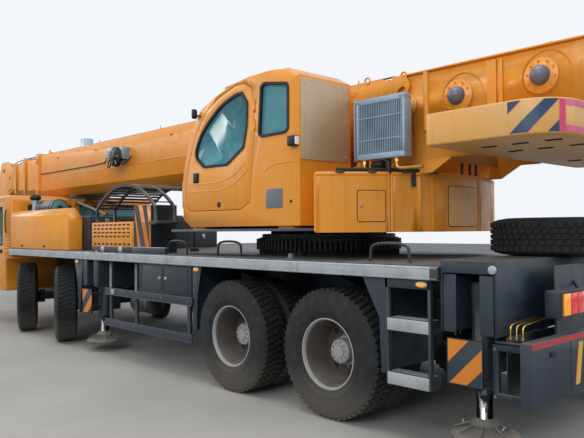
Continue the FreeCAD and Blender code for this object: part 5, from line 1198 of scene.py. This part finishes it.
def guard_pieces():
    """What stands on the deck between the cabs: boom rest, guard hoops, striped box and steps."""
    guards = Piece("deck_guard_shell", "chassis", BLACK, "guard_dark")
    guards.from_node("deck_guards", 0.006, 0.05, [(ORANGE_PAINT, (1.690, 1.309, 1.358), (2.110, 1.320, 1.952)),
                                                  (YELLOW, (2.095, 0.970, 1.358), (3.215, 1.340, 1.752)),
                                                  (YELLOW, (5.90, -0.38, 1.358), (6.10, 0.38, 2.226))])
    low, high = 1.365, 1.947
    for outline in ([(1.703, low), (1.893, high), (1.793, high)], slant(1.803, 0.100, 0.190, low, high),
                    [(2.003, low), (2.097, low), (2.097, high)]):
        guards.plate(outline, 1.3105, 1.3130, finish=BLACK)
    # perforated treads and side of the steps; the side's holes are dark blocks on its face, painted shade in place of
    # openings
    for along in (2.17, 2.73):
        for column in range(8):
            for row in range(5):
                place = at(along + 0.06 * column, 1.010 + row * 0.062, 1.750)
                guards.bar(place, place + Vector((0, 0, 0.005)), 0.020, 0.013, 8, finish=YELLOW)
    guards.block((2.105, 1.326, 1.430), (3.205, 1.3318, 1.748), 0.003, YELLOW)
    for row, (up, high, wide) in enumerate(((1.452, 0.026, 0.062), (1.555, 0.020, 0.074), (1.605, 0.020, 0.074),
                                            (1.655, 0.020, 0.074), (1.705, 0.020, 0.074))):
        for number in range(9):
            along = 2.160 + number * 0.114 + 0.015 * (row % 2)
            guards.block((along, 1.328, up), (along + wide, 1.3335, up + high), 0.0, SEAL)
    guards.block((2.105, 1.326, 1.362), (3.205, 1.3325, 1.428), 0.002, BLACK)
    for along in (2.878, 2.398):
        guards.cap((along, 1.332, 1.396), OUT, ((0.044, 0.0), (0.044, 0.008), (0.036, 0.012), (0.028, 0.022)), 28,
                   RAIL, 0.028)
    # low plate in front of the striped box, with a bright top edge
    guards.block((1.330, 1.316, 1.358), (2.095, 1.345, 1.430), 0.003, NAVY)
    guards.block((1.330, 1.314, 1.430), (2.095, 1.347, 1.438), 0.002, RAIL)
    # a third hoop nearer the boom, with the slats that reach it
    arch = arc((2.330, 1.1357), 1.085, 1.085, 109, -3.8, 17)
    guards.pipe(beside(0.500, (1.965, 1.40), *arch, (3.075, 1.900), (3.080, 1.40)), 0.014, BLACK)
    for along, up in arch:
        guards.bar((along, 1.315, up), (along, 0.490, up), 0.014, sides=10, finish=BLACK)
    for foot in (1.965, 3.080):
        guards.block((foot - 0.045, 0.455, 1.359), (foot + 0.045, 0.545, 1.410), 0.005, BLACK)
    # braces, latches and the rest's brackets
    for side in guards.sides():
        guards.plate([(0.200, 2.110), (0.350, 2.110), (0.358, 2.222), (0.120, 2.222)], 5.930, 5.942, 0.002, 0.0,
                     YELLOW, front_view)
        guards.bar((5.915, 0.300, 2.160), (4.160, 0.620, 1.885), 0.034, finish=BLACK)
        guards.block((4.060, 0.530, 1.858), (4.240, 0.710, 1.892), 0.006, BLACK)
        for up in (1.55, 1.75, 1.95, 2.15):
            guards.bolt((5.938, 0.290, up), BACK, 0.011, 0.010)
    guards.block((5.932, -0.352, 2.228), (6.078, 0.352, 2.2835), 0.014, SLATE)
    for across in (-0.28, -0.14, 0.0, 0.14, 0.28):
        guards.block((5.936, across - 0.004, 2.236), (6.074, across + 0.004, 2.2838), 0.0, SEAL)
    # grab handles on the deck beside the turntable
    for along, across in ((-2.05, 1.22), (1.12, 1.18), (0.10, 1.20)):
        bend = ((0, 1.355), (0, 1.46), (0.03, 1.50), (0.12, 1.515), (0.28, 1.515), (0.37, 1.50), (0.40, 1.46),
                (0.40, 1.355))
        guards.pipe([(along + away, across, up) for away, up in bend], 0.013, BLACK)
        for foot in (along, along + 0.40):
            guards.bar((foot, across, 1.3555), (foot, across, 1.366), 0.028, edge=0.003, finish=BLACK)
    guards.cap((-0.72, 1.26, 1.358), UP, ((0.055, 0.0), (0.055, 0.010), (0.030, 0.014), (0.026, 0.050)), 28, SLATE,
               0.056)
    guards.done("deck_guards")


def engine_pieces():
    """The dark engine cover with its air cleaner and stack, the side hood, and the engine block."""
    cover = Piece("engine_cover_shell", "chassis", BLACK, "cover_dark")
    cover.from_node("engine_cover", 0.020, 0.25, segments=3)
    for along in (4.05, 4.45, 4.85, 5.25):
        cover.block((along, -0.95, 1.858), (along + 0.035, 0.66, 1.872), 0.004)
    for number in range(12):
        up = 1.46 + number * 0.028
        cover.block((3.672, -0.60, up), (3.684, 0.60, up + 0.012), 0.003, SEAL)
    for up in (1.425, 1.805):
        cover.block((3.668, -0.66, up), (3.678, 0.66, up + 0.02), 0.004)
    for side in cover.sides():
        for up in (1.50, 1.74):
            cover.block((3.666, 0.83, up), (3.684, 0.89, up + 0.08), 0.006, STEEL)
    bands = [point for away in (0.028, 0.158, 0.538) for point in ((0.152, away - 0.008), (0.146, away))]
    bands[2:2] = [(0.146, 0.120), (0.152, 0.128)]
    bands[6:6] = [(0.146, 0.500), (0.152, 0.508)]
    cleaner = (5.13, 0.95, 2.015)
    cover.cap(cleaner, AHEAD, ((0.128, -0.004), (0.150, 0.010), *bands, (0.146, 0.620), (0.128, 0.642)), 48, TEAL,
              0.644)
    cover.cap((5.126, 0.95, 2.015), BACK, ((0.050, 0.0), (0.046, 0.012)), 28, SEAL, 0.014)
    for along in (5.22, 5.62):
        cover.ring(arc((0.95, 2.015), 0.158, 0.158, 0, 15, 24), 0.010, along, along + 0.035, 0.0, STEEL,
                   front_view)
        cover.block((along, 0.86, 1.858), (along + 0.035, 1.04, 1.872), 0.003, BLACK)
    cover.bar((5.825, 1.075, 1.858), (5.825, 1.075, 2.168), 0.052, sides=32, finish=COOLER)
    cover.cap((5.825, 1.075, 2.168), UP, ((0.060, 0.0), (0.086, 0.020), (0.094, 0.040), (0.086, 0.066),
                                          (0.050, 0.092)), 36, HOSE, 0.100)
    cover.done("engine_cover")

    hood = Piece("side_hood_shell", "chassis", YELLOW, "body_paint")
    hood.from_node("side_hood", 0.022, 0.15, segments=3)
    side = 1.3705
    for near, far, up in ((4.62, 5.20, 1.735), (5.36, 6.02, 1.800)):
        hood.bar((near, side, up), (far, side, up), 0.004, sides=8)
    for along in (4.70, 5.60):
        hood.block((along, side - 0.002, 1.400), (along + 0.08, side + 0.008, 1.425), 0.004, HOSE)
    hood.done("side_hood")

    engine = Piece("engine_detail", "chassis", IRON, "engine_iron")
    engine.from_node("engine_block", 0.012, 0.20)
    for number in range(6):
        along = 4.08 + number * 0.205
        engine.block((along, -0.19, 1.716), (along + 0.17, 0.19, 1.745), 0.014)
        for side in engine.sides():
            engine.pipe([(along + 0.085, 0.372, 1.52), (along + 0.085, 0.40, 1.52), (along + 0.085, 0.41, 1.46)],
                        0.024, IRON)
    for side in engine.sides():
        engine.bar((4.02, 0.405, 1.45), (5.25, 0.405, 1.45), 0.038, sides=24, edge=0.006)
    engine.bar((5.345, 0, 1.20), (5.39, 0, 1.20), 0.16, sides=40, edge=0.006)
    engine.bar((3.96, 0, 1.10), (3.88, 0, 1.10), 0.21, 0.15, 40, 0.006)
    engine.block((4.10, -0.26, 0.70), (5.10, 0.26, 0.785), 0.02)
    engine.done("engine_block")


# Chassis

RAIL_OUT = 1.400
VALANCE_IN, VALANCE_OUT = 1.352, 1.365
BOXES = (("front", 3.180), ("rear", -2.655))
AXLES = (5.710, 4.240, 0.080, -1.270)
AXLE_UP = 0.5625


def marker_lamp(piece, along, up):
    """An oval amber side lamp in its bright rim."""
    for wide, high, proud, finish in ((0.052, 0.024, 0.008, RAIL), (0.042, 0.017, 0.016, AMBER)):
        piece.plate(arc((along, up), wide, high, 0, 18, 20), 1.366, 1.366 + proud, 0.003, 0.0, finish)


def chassis_pieces():
    """The frame with its deck, the bright edge rails, valances and side lamps."""
    hull = Piece("frame_and_deck", "chassis", NAVY, "chassis_paint")
    hull.from_node("chassis_frame", 0.006, 0.25, [(DECK, (-2.5, -1.40, 1.3595), (8.0, 1.40, 1.3605))])
    for side in hull.sides():
        hull.plate(rect(-2.340, 1.175, -1.915, 1.250), VALANCE_IN, VALANCE_OUT, 0.002)
        for outline in ([(-1.925, 0.500), (-1.872, 0.500), (-1.856, 0.930), (-1.680, 1.250), (-1.925, 1.250)],
                        [(0.580, 1.250), (0.652, 0.930), (0.668, 0.560), (0.740, 0.560), (0.740, 1.250)],
                        [(3.500, 0.560), (3.560, 0.560), (3.580, 0.900), (3.680, 1.250), (3.410, 1.250)]):
            hull.plate(outline, VALANCE_IN, VALANCE_OUT, 0.003)
        for along in (-2.265, 0.668, 3.584):
            marker_lamp(hull, along, 1.212)
        for number in range(9):
            for up in (1.02, 1.18):
                hull.bolt((number * 0.62 - 2.0, 0.462, up), OUT, 0.016, 0.012)
        for along in (-1.0, -0.2, 0.6, 1.4, 2.2):
            hull.block((along, 0.460, 1.250), (along + 0.010, 1.350, 1.312))
            hull.plate([(0.460, 1.312), (1.20, 1.312), (0.460, 1.02)], along, along + 0.010, view=front_view)
    hull.done("chassis_frame")

    rails = Piece("bright_edge_rails", "chassis", RAIL, "rail_aluminium")
    rails.from_node("edge_rails", 0.008, 0.05)
    for side in rails.sides():
        for up in (1.262, 1.338):
            rails.bar((-2.420, RAIL_OUT, up), (6.140, RAIL_OUT, up), 0.003, sides=8)
        for along in (-0.95, 1.20, 3.35, 5.40):
            rails.block((along, 1.396, 1.252), (along + 0.004, 1.4008, 1.348), 0.0, SEAL)
        rails.block((-2.431, 1.374, 1.253), (-2.360, 1.4022, 1.347), 0.003, TRIM)
        for number in range(14):
            rails.dome((number * 0.62 - 2.10, RAIL_OUT, 1.300), OUT, 0.009, 0.003, RAIL, 12)
    rails.done("edge_rails")


def panel_span(node, face):
    """How high the flat panel on the end of an outrigger beam stands."""
    heights = [vert.co.z for vert in frame["nodes"][node].data.vertices if abs(vert.co.y - face) < 1e-3]
    return min(heights), max(heights)


def outrigger_pieces():
    """The outrigger boxes, the beams' ends with striped panels, and jacks with their floats."""
    boxes = Piece("outrigger_box_shell", "chassis", NAVY, "chassis_paint")
    boxes.from_node("outrigger_boxes", 0.008, 0.15)
    for end, middle in BOXES:
        for side in boxes.sides():
            boxes.cap((middle - 0.20, 1.370, 1.345), OUT, ((0.030, 0.0), (0.030, 0.012), (0.018, 0.018)), 24, RAIL,
                      0.020)
    boxes.done("outrigger_boxes")
    for end, middle in BOXES:
        for word, side in SIDES:
            beam_piece(end + "_" + word, middle, side)
            jack_piece(end + "_" + word, middle, side)


def beam_piece(name, middle, side):
    """A beam's end: striped panel in its frame, end plates and the jack's tube."""
    node = "outrigger_beam_" + name
    low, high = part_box(node)
    face = high.y if side > 0 else -low.y
    beam = Piece("beam_end_" + name, "beam_" + name, NAVY, "chassis_paint", side)
    beam.from_node(node, 0.005, 0.12)
    left, right = middle + 0.145, middle - 0.145
    foot, top = panel_span(node, face * side)
    for shape in (((0.04, 0.97), (0.62, 0.97), (0.04, 0.47)),
                  ((0.08, 0.04), (0.56, 0.04), (0.97, 0.38), (0.97, 0.82))):
        beam.plate([(left + (right - left) * u, foot + (top - foot) * v) for u, v in shape], face, face + 0.002,
                   finish=ORANGE_PAINT)
    beam.ring(rect(left, foot, right, top), 0.009, face - 0.004, face + 0.006)
    for near, inner in ((middle + 0.095, middle + 0.095), (middle - 0.200, middle - 0.105)):
        beam.block((near, 1.350, 0.888), (near + 0.105, 1.366, 1.300), 0.003)
        beam.block((inner, 1.02, 0.900), (inner + 0.010, 1.352, 1.290))
    for up in (0.492, 0.530):
        beam.bar((middle, 1.150, up - 0.012), (middle, 1.150, up + 0.012), 0.093, sides=40, edge=0.003)
    beam.bar((middle, 1.150, 1.232), (middle, 1.150, 1.242), 0.070, sides=32, edge=0.002)
    beam.done(node)


def jack_piece(name, middle, side):
    """A jack's rod with its round ribbed float and two handles."""
    node = "outrigger_jack_" + name
    low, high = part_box(node)
    jack = Piece("jack_shell_" + name, "jack_" + name, CHROME, "jack_chrome")
    foot = [(FLOAT, low - Vector((0.01, 0.01, 0.01)), Vector((high.x + 0.01, high.y + 0.01, low.z + 0.085)))]
    jack.from_node(node, 0.004, 0.05, foot)
    base = at(middle, 1.150 * side, low.z)
    jack.turned(base, UP, loop(0.2385, 0.0060, 0.016), 48, FLOAT)
    for number in range(8):
        turn = math.tau * (number + 0.5) / 8
        near, far = [base + Vector((reach * math.cos(turn), reach * math.sin(turn), up))
                     for reach, up in ((0.10, 0.100), (0.215, 0.060))]
        jack.bar(near, far, 0.007, sides=8, finish=FLOAT)
    jack.cap(base, UP, ((0.105, 0.072), (0.105, 0.100), (0.090, 0.125), (0.072, 0.130), (0.072, 0.142)), 40, FLOAT)
    for sign in (1, -1):
        jack.pipe([base + Vector(step) for step in ((0.15 * sign, -0.04, 0.070), (0.17 * sign, -0.04, 0.115),
                                                    (0.17 * sign, 0.04, 0.115), (0.15 * sign, 0.04, 0.070))],
                  0.006, STEEL)
    jack.done(node)


def side_gear_pieces():
    """Tanks, cabinets, steps, side guards and flaps along both sides."""
    gear = Piece("side_gear_shell", "chassis", NAVY, "gear_dark")
    gear.from_node("side_gear", 0.006, 0.08)
    for side in gear.sides():
        for low, high in ((0.422, 0.518), (0.842, 0.938)):
            gear.block((-2.325, 1.345, low), (-1.935, 1.369, high), 0.006, RAIL)
            shift = 0.012 if side > 0 else 0.014
            for number in range(4):
                near = 1.225 + shift + number * 0.028
                gear.block((-2.32, near, high - 0.002), (-1.94, near + 0.010, high + 0.004), 0.0, RAIL)
        # doors, latches and hinges of the cabinet
        for rear, front in ((0.830, 1.330), (1.360, 1.840)):
            gear.ring(rect(rear, 0.935, front, 1.235), 0.006, 1.358, 1.368, 0.02, SEAL)
        for along in (1.28, 1.41):
            gear.block((along - 0.030, 1.364, 1.065), (along + 0.030, 1.376, 1.100), 0.005, STEEL)
        for along in (0.90, 1.24, 1.46, 1.78):
            gear.bar((along - 0.03, 1.368, 1.243), (along + 0.03, 1.368, 1.243), 0.007, sides=12)
        gear.block((2.475, 1.3855, 0.822), (2.565, 1.3885, 0.888), 0.002, RAIL)
        # underrun guards and mudguards
        for low in (0.41, 0.81):
            for along in (0.80, 1.35, 1.96, 2.20, 2.61, 2.70):
                gear.bolt((along, 1.385, low + 0.045), OUT, 0.010, 0.007)
            for up in (low + 0.004, low + 0.086):
                gear.bar((0.735, 1.384, up), (2.725, 1.384, up), 0.005, sides=8)
        for along in (-1.88, 0.68, 3.52):
            for number in range(5):
                gear.bolt((along - 0.006, 0.80 + 0.12 * number, 1.285), BACK, 0.010, 0.006)
        # an air tank in its straps behind the guards
        gear.cap((1.98, 1.04, 0.70), AHEAD, ((0, 0), (0.070, 0.006), (0.110, 0.030), (0.120, 0.060), (0.120, 0.480),
                                             (0.110, 0.510), (0.070, 0.534)), 36, BLACK, 0.540)
        for along in (2.08, 2.36):
            gear.ring(arc((1.04, 0.70), 0.126, 0.126, 0, 15, 24), 0.006, along, along + 0.035, 0.0, STEEL,
                      front_view)
            gear.bar((along + 0.017, 1.04, 0.82), (along + 0.017, 1.04, 1.312), 0.012, sides=10)
        gear.pipe([(2.50, 1.04, 0.70), (2.58, 1.02, 0.71), (2.62, 0.90, 0.80), (2.66, 0.70, 1.02),
                   (2.68, 0.47, 1.05)], 0.010, HOSE)
    gear.done("side_gear")


BUMPER = -3.1205


def tail_pieces():
    """The tail: bumper with tape, lamps, slanted step, brass pipes and tow eye."""
    tail = Piece("tail_shell", "chassis", NAVY, "chassis_paint")
    tail.from_node("tail_frame", 0.006, 0.06)
    tail.block((BUMPER - 0.002, -1.355, 0.824), (BUMPER, 1.355, 0.866), 0.0, RED_TAPE)
    for number in range(10):
        across = 0.70 - number * 0.145
        for foot, wide, finish in ((across, -0.070, YELLOW_TAPE), (across + 0.014, -0.014, RED_TAPE)):
            tail.plate(slant(foot, wide, -0.060, 0.500, 0.800), BUMPER - 0.002, BUMPER, finish=finish,
                       view=front_view)
    for side in tail.sides():
        tail.block((-2.903, 0.48, 0.470), (-2.893, 1.27, 0.880), 0.002, BLACK)
        tail.block((BUMPER - 0.001, 0.771, 0.445), (BUMPER + 0.001, 0.779, 0.865), 0.0, SEAL)
        tail.block((BUMPER - 0.010, 1.02, 0.750), (BUMPER, 1.10, 0.785), 0.004, SEAL)
        for number, colour in enumerate((AMBER, RED, RED, WHITE)):
            across = 0.955 - number * 0.105
            tail.block((-3.166, across - 0.096, 1.018), (-3.148, across, 1.172), 0.005, colour)
        tail.ring(rect(0.545, 1.004, 0.995, 1.186), 0.010, -3.160, -3.148, 0.012, view=front_view)
        for along in (-2.92, -2.965, -3.01):
            tail.pipe([(along, 1.26, 0.872), (along, 1.26, 0.935), (along, 1.248, 0.962), (along, 1.21, 0.972),
                       (along + 0.02, 0.87, 0.985)], 0.006, BRASS)
            tail.bar((along, 1.26, 0.868), (along, 1.26, 0.884), 0.012, sides=6, finish=BRASS)
        for up in (0.475, 0.80):
            tail.bolt((-2.84, 1.324, up), OUT, 0.012, 0.008)
        tail.bar((-3.050, 1.303, 0.845), (-2.83, 1.303, 0.845), 0.010, sides=12)
        tail.pipe([(-3.10, 0.60, 1.19), (-3.05, 0.58, 1.24), (-3.02, 0.50, 1.28), (-2.95, 0.44, 1.30)], 0.010, HOSE)
    tail.block((-3.158, -0.16, 0.52), (-3.118, 0.16, 0.80), 0.010)
    tail.bolts((-3.158, 0, 0.66), BACK, 0.155, 4, 0.016, 0.012, start=0.785)
    tail.plate(rect(-0.20, 0.90, 0.20, 1.00), -3.058, -3.050, 0.002, 0.01, RAIL, front_view)
    tail.done("tail_frame")


def spring_leaf(along, middle, layer):
    """One bowed leaf of a spring."""
    reach = 0.52 - layer * 0.075
    form = brick()
    bmesh.ops.subdivide_edges(form, edges=[e for e in form.edges if abs(e.verts[0].co.x - e.verts[1].co.x) > 0.5],
                              cuts=7)
    for vert in form.verts:
        away = vert.co.x * 2 * reach
        vert.co = at(along + away, middle + vert.co.y * 0.075,
                     0.700 - 0.020 * layer + vert.co.z * 0.017 + 0.10 * (away / 0.52) ** 2)
    return form


def axle_pieces():
    """Axles with their differentials, springs, brake chambers, and the drive shafts between them."""
    axles = Piece("axle_shell", "chassis", IRON, "axle_iron")
    axles.from_node("axles", 0.006, 0.08)
    for along in AXLES:
        axles.cap((along + 0.185, 0, AXLE_UP), AHEAD, ((0.120, 0.0), (0.120, 0.012), (0.085, 0.030)), 32, None,
                  0.045)
        axles.bolts((along + 0.190, 0, AXLE_UP), AHEAD, 0.105, 10, 0.009, 0.010)
        for side in axles.sides():
            for layer in range(6):
                axles.add(spring_leaf(along, 0.530 * side, layer))
            for step in (-0.085, 0.085):
                for across in (0.485, 0.575):
                    axles.bar((along + step, across, 0.520), (along + step, across, 0.740), 0.009, sides=8,
                              finish=STEEL)
            axles.block((along - 0.11, 0.475, 0.716), (along + 0.11, 0.585, 0.738), 0.005)
            for end in (along - 0.52, along + 0.52):
                bracket = Vector((0, 0.530 * side, 0))
                axles.plate([(end - 0.05, 1.02), (end + 0.05, 1.02), (end + 0.03, 0.775), (end - 0.03, 0.775)],
                            *[(bracket.y - away) * side for away in (0.045, 0.035)], 0.002)
                axles.bar(at(end, bracket.y - 0.05, 0.802), at(end, bracket.y + 0.045, 0.802), 0.018, sides=16,
                          finish=STEEL)
            axles.cap((along - 0.14, 0.40, 0.66), OUT, ((0.070, 0.0), (0.078, 0.020), (0.078, 0.070), (0.070, 0.090),
                                                        (0.030, 0.100)), 28)
            axles.pipe([(along - 0.14, 0.40, 0.72), (along - 0.16, 0.38, 0.80), (along - 0.20, 0.34, 0.86)], 0.008,
                       HOSE)
    for near, far in ((at(3.60, 0, 0.900), at(0.36, 0, 0.590)), (at(-0.10, 0, AXLE_UP), at(-1.05, 0, AXLE_UP)),
                      (at(5.50, 0, AXLE_UP), at(4.45, 0, AXLE_UP))):
        way = (far - near).normalized() * 0.07
        axles.bar(near, far, 0.042, sides=24)
        for place, step in ((near, way), (far, -way)):
            axles.bar(place, place + step, 0.062, edge=0.006, finish=STEEL)
    axles.done("axles")


# The road cab

CAB_HALF = 1.350
FRONT = 8.030
BUMPER_FACE = FRONT + 0.034


def not_opening(edge):
    """Whether an edge of the road cab isn't on a door opening or window reveal."""
    middle = (edge.verts[0].co + edge.verts[1].co) / 2
    along, across, up = middle.x - SLEW.x, abs(middle.y), middle.z
    inside_door = 6.50 < along < 7.715 and 0.66 < up < 2.175 and across > 1.25
    inner = across < 1.31 and 6.22 < along < 7.99 and 0.66 < up < 2.225
    screen = across < 1.245 and 1.40 < up < 2.17 and along > 7.20
    return not (inside_door or inner or screen)


def driver_cab_pieces():
    """The low full-width road cab with its doors, glass, lamps, bumper, mirrors and wipers."""
    cab = Piece("road_cab_shell", "chassis", YELLOW, "body_paint")
    cab.from_node("driver_cab", 0.030, pick=lambda e: e.calc_length() >= 0.35 and not_opening(e), segments=3)
    # grille, bumper and number-plate place
    cab.block((FRONT - 0.012, -0.62, 1.06), (FRONT + 0.006, 0.62, 1.36), 0.004, BLACK)
    for number in range(7):
        up = 1.075 + number * 0.040
        cab.block((FRONT + 0.002, -0.60, up), (FRONT + 0.016, 0.60, up + 0.018), 0.004)
    cab.block((FRONT - 0.03, -1.35, 0.640), (FRONT + 0.035, 1.35, 0.960), 0.020, BLACK)
    cab.block((BUMPER_FACE, -0.26, 0.740), (FRONT + 0.038, 0.26, 0.850), 0.0015, RAIL)
    for side in cab.sides():
        for across in (1.12, 0.90):
            cab.cap((FRONT + 0.012, across, 1.15), AHEAD, ((0.103, -0.010), (0.103, 0.012), (0.089, 0.016),
                                                           (0.085, 0.004)), 36, CHROME)
            cab.dome((FRONT + 0.016, across, 1.15), AHEAD, 0.085, 0.020, WHITE, 36)
        cab.block((FRONT + 0.004, 0.76, 1.035), (FRONT + 0.010, 1.26, 1.265), 0.003, BLACK)
        cab.block((FRONT + 0.004, 1.23, 1.06), (FRONT + 0.026, 1.31, 1.24), 0.008, AMBER)
        cab.cap((BUMPER_FACE, 1.02, 0.80), AHEAD, ((0.075, -0.01), (0.075, 0.006), (0.064, 0.010)), 30, WHITE, 0.018)
        cab.pipe([(FRONT + 0.030, 0.56, 0.80), (FRONT + 0.085, 0.56, 0.80), (FRONT + 0.085, 0.44, 0.80),
                  (FRONT + 0.030, 0.44, 0.80)], 0.014, STEEL)
        # mirror on its arm
        cab.pipe([(7.72, 1.345, 1.98), (7.77, 1.357, 2.00), (7.88, 1.365, 1.98), (7.92, 1.365, 1.88),
                  (7.92, 1.365, 1.56), (7.84, 1.357, 1.48)], 0.012, HOSE)
        cab.block((7.885, 1.220, 1.62), (7.945, 1.380, 1.94), 0.022, HOSE)
        cab.block((7.880, 1.230, 1.64), (7.886, 1.370, 1.92), 0.002, CHROME)
        # step below the door, rain gutter, vents and grab rail behind the door
        cab.block((6.60, 1.20, 0.628), (7.40, 1.352, 0.668), 0.006, RAIL)
        cab.bar((6.50, 1.351, 2.215), (7.40, 1.351, 2.215), 0.008, sides=10)
        for number in range(5):
            up = 1.30 + number * 0.05
            cab.block((6.24, 1.348, up), (6.44, 1.358, up + 0.025), 0.004)
        cab.pipe([(6.40, 1.350, 1.62), (6.40, 1.376, 1.64), (6.40, 1.376, 2.00), (6.40, 1.350, 2.02)], 0.010, HOSE)
        # wiper
        foot = FRONT - 0.005
        cab.bar((foot - 0.02, 0.70, 1.435), (foot + 0.016, 0.70, 1.439), 0.018, sides=16, finish=HOSE)
        cab.pipe([(foot, 0.70, 1.435), (foot - 0.012, 0.60, 1.535), (foot - 0.085, 0.37, 1.795)], 0.006, HOSE)
    cab.block((7.02, -1.16, 2.262), (7.06, 1.16, 2.288), 0.006)
    for across in (-1.05, -0.35, 0.35, 1.05):
        cab.block((7.10, across - 0.05, 2.268), (7.16, across + 0.05, 2.300), 0.010, AMBER)
    cab.ring(rect(-1.055, 1.545, 1.055, 2.105), 0.024, 6.172, 6.196, 0.04, SEAL, front_view)
    cab.done("driver_cab")

    glass = Piece("road_cab_glass", "chassis", GLASS, "cab_glass")
    glass.from_node("driver_glass", 0.0).done("driver_glass", smooth=35)

    window = [(6.590, 1.400), (7.630, 1.400), (7.630, 1.460), (7.340, 2.080), (6.590, 2.080)]
    for word, side in SIDES:
        door = Piece("road_door_" + word, "door_" + word, YELLOW, "body_paint", side)
        door.from_node("driver_door_" + word, 0.006, finishes=[(GLASS, (6.50, 1.3190, 1.398), (7.70, 1.3290, 2.082))],
                       pick=on_side(CAB_HALF * side))
        door.ring(window, 0.022, 1.3285, 1.3560, 0.03, SEAL)
        door.block((6.600, 1.3495, 1.265), (6.760, 1.3560, 1.335), 0.006, SEAL)
        door.block((6.615, 1.3550, 1.290), (6.745, 1.3720, 1.315), 0.008, HOSE)
        for up in (1.02, 1.16):
            door.bar((6.58, 1.3495, up), (7.60, 1.3495, up), 0.006, sides=8)
        door.plate(rect(6.62, 0.76, 7.58, 0.94), 1.3490, 1.3530, 0.002, 0.04)
        door.done("driver_door_" + word)


# Stage

FOCAL_PIXELS, PICTURE_WIDE = 647.77, 584
CAMERA_PLACE = (-8.535, 5.388, 1.623)
YAW, PITCH, ROLL = math.radians(43.056), math.radians(1.037), math.radians(-0.407)


def look():
    """The photograph's camera: behind the left rear wheel, level, looking forward to the right."""
    ahead = Vector((math.cos(YAW) * math.cos(PITCH), -math.sin(YAW) * math.cos(PITCH), math.sin(PITCH)))
    right = Vector((-math.sin(YAW), -math.cos(YAW), 0.0))
    up = right.cross(ahead)
    right, up = math.cos(ROLL) * right + math.sin(ROLL) * up, -math.sin(ROLL) * right + math.cos(ROLL) * up
    turn = Matrix((right, up, -ahead)).transposed().to_4x4()
    lens_data = bpy.data.cameras.new("photograph")
    lens_data.sensor_fit, lens_data.sensor_width = "HORIZONTAL", 36.0
    lens_data.lens = FOCAL_PIXELS / PICTURE_WIDE * lens_data.sensor_width
    lens_data.clip_end = 200.0
    eye = bpy.data.objects.new("photograph", lens_data)
    eye.matrix_world = Matrix.Translation(CAMERA_PLACE) @ turn
    bpy.context.scene.collection.objects.link(eye)
    bpy.context.scene.camera = eye


def lamp(name, place, target, size, power, colour):
    data = bpy.data.lights.new(name, "AREA")
    data.shape, data.size, data.energy, data.color = "DISK", size, power, colour
    thing = bpy.data.objects.new(name, data)
    thing.matrix_world = (Matrix.Translation(place)
                          @ (Vector(target) - Vector(place)).to_track_quat("-Z", "Y").to_matrix().to_4x4())
    bpy.context.scene.collection.objects.link(thing)


def sky():
    """A pale room: one strength for what it lights, another for what the camera sees or mirrors."""
    world = bpy.data.worlds.new("soft_room")
    bpy.context.scene.world = world
    world.use_nodes = True
    nodes, link = world.node_tree.nodes, world.node_tree.links.new
    back = nodes["Background"]
    back.inputs["Color"].default_value = (0.80, 0.86, 0.95, 1.0)
    back.inputs["Strength"].default_value = 0.42
    seen = nodes.new("ShaderNodeBackground")
    seen.inputs["Color"].default_value = (0.90, 0.93, 0.97, 1.0)
    rays = nodes.new("ShaderNodeLightPath").outputs
    share = rays["Is Camera Ray"]
    for word in ("Is Glossy Ray", "Is Transmission Ray"):
        more = nodes.new("ShaderNodeMath")
        more.operation = "MAXIMUM"
        link(share, more.inputs[0])
        link(rays[word], more.inputs[1])
        share = more.outputs[0]
    blend = nodes.new("ShaderNodeMixShader")
    for number, source in enumerate((share, back.outputs[0], seen.outputs[0])):
        link(source, blend.inputs[number])
    link(blend.outputs[0], nodes["World Output"].inputs["Surface"])


def stage():
    """A pale floor, a pale sky and soft lamps."""
    sky()
    floor = bmesh.new()
    bmesh.ops.create_grid(floor, x_segments=1, y_segments=1, size=60.0)
    mesh = bpy.data.meshes.new("floor")
    floor.to_mesh(mesh)
    floor.free()
    thing = bpy.data.objects.new("floor", mesh)
    finish = Finish("pale_floor")
    finish.colour(finish.mix(finish.ramp(finish.noise(0.8), 0.3, 0.7), rgb(172, 171, 168), rgb(160, 159, 156)))
    mesh.materials.append(finish.set(Roughness=0.85))
    bpy.context.scene.collection.objects.link(thing)

    lamp("sky", (-4.0, 3.0, 14.0), (0, 0, 1), 10.0, 880, (1.0, 0.98, 0.95))
    lamp("side", (-9.0, 13.0, 8.0), (-2, 0, 1.6), 8.0, 820, (1.0, 0.97, 0.92))
    lamp("front", (13.0, 7.0, 9.0), (2, 0, 1.5), 7.0, 690, (1.0, 0.95, 0.88))
    lamp("rear", (-15.0, -4.0, 7.0), (-4, 0, 1.5), 7.0, 470, (0.92, 0.96, 1.0))
    bpy.context.scene.view_settings.view_transform = "Standard"


finish_nodes()
wheel_pieces()
crane_cab_pieces()
inside_pieces()
turntable_pieces()
winch_pieces()
counterweight_pieces()
cooler_pieces()
boom_pieces()
hook_pieces()
lift_pieces()
guard_pieces()
engine_pieces()
chassis_pieces()
outrigger_pieces()
side_gear_pieces()
tail_pieces()
axle_pieces()
driver_cab_pieces()
look()
stage()
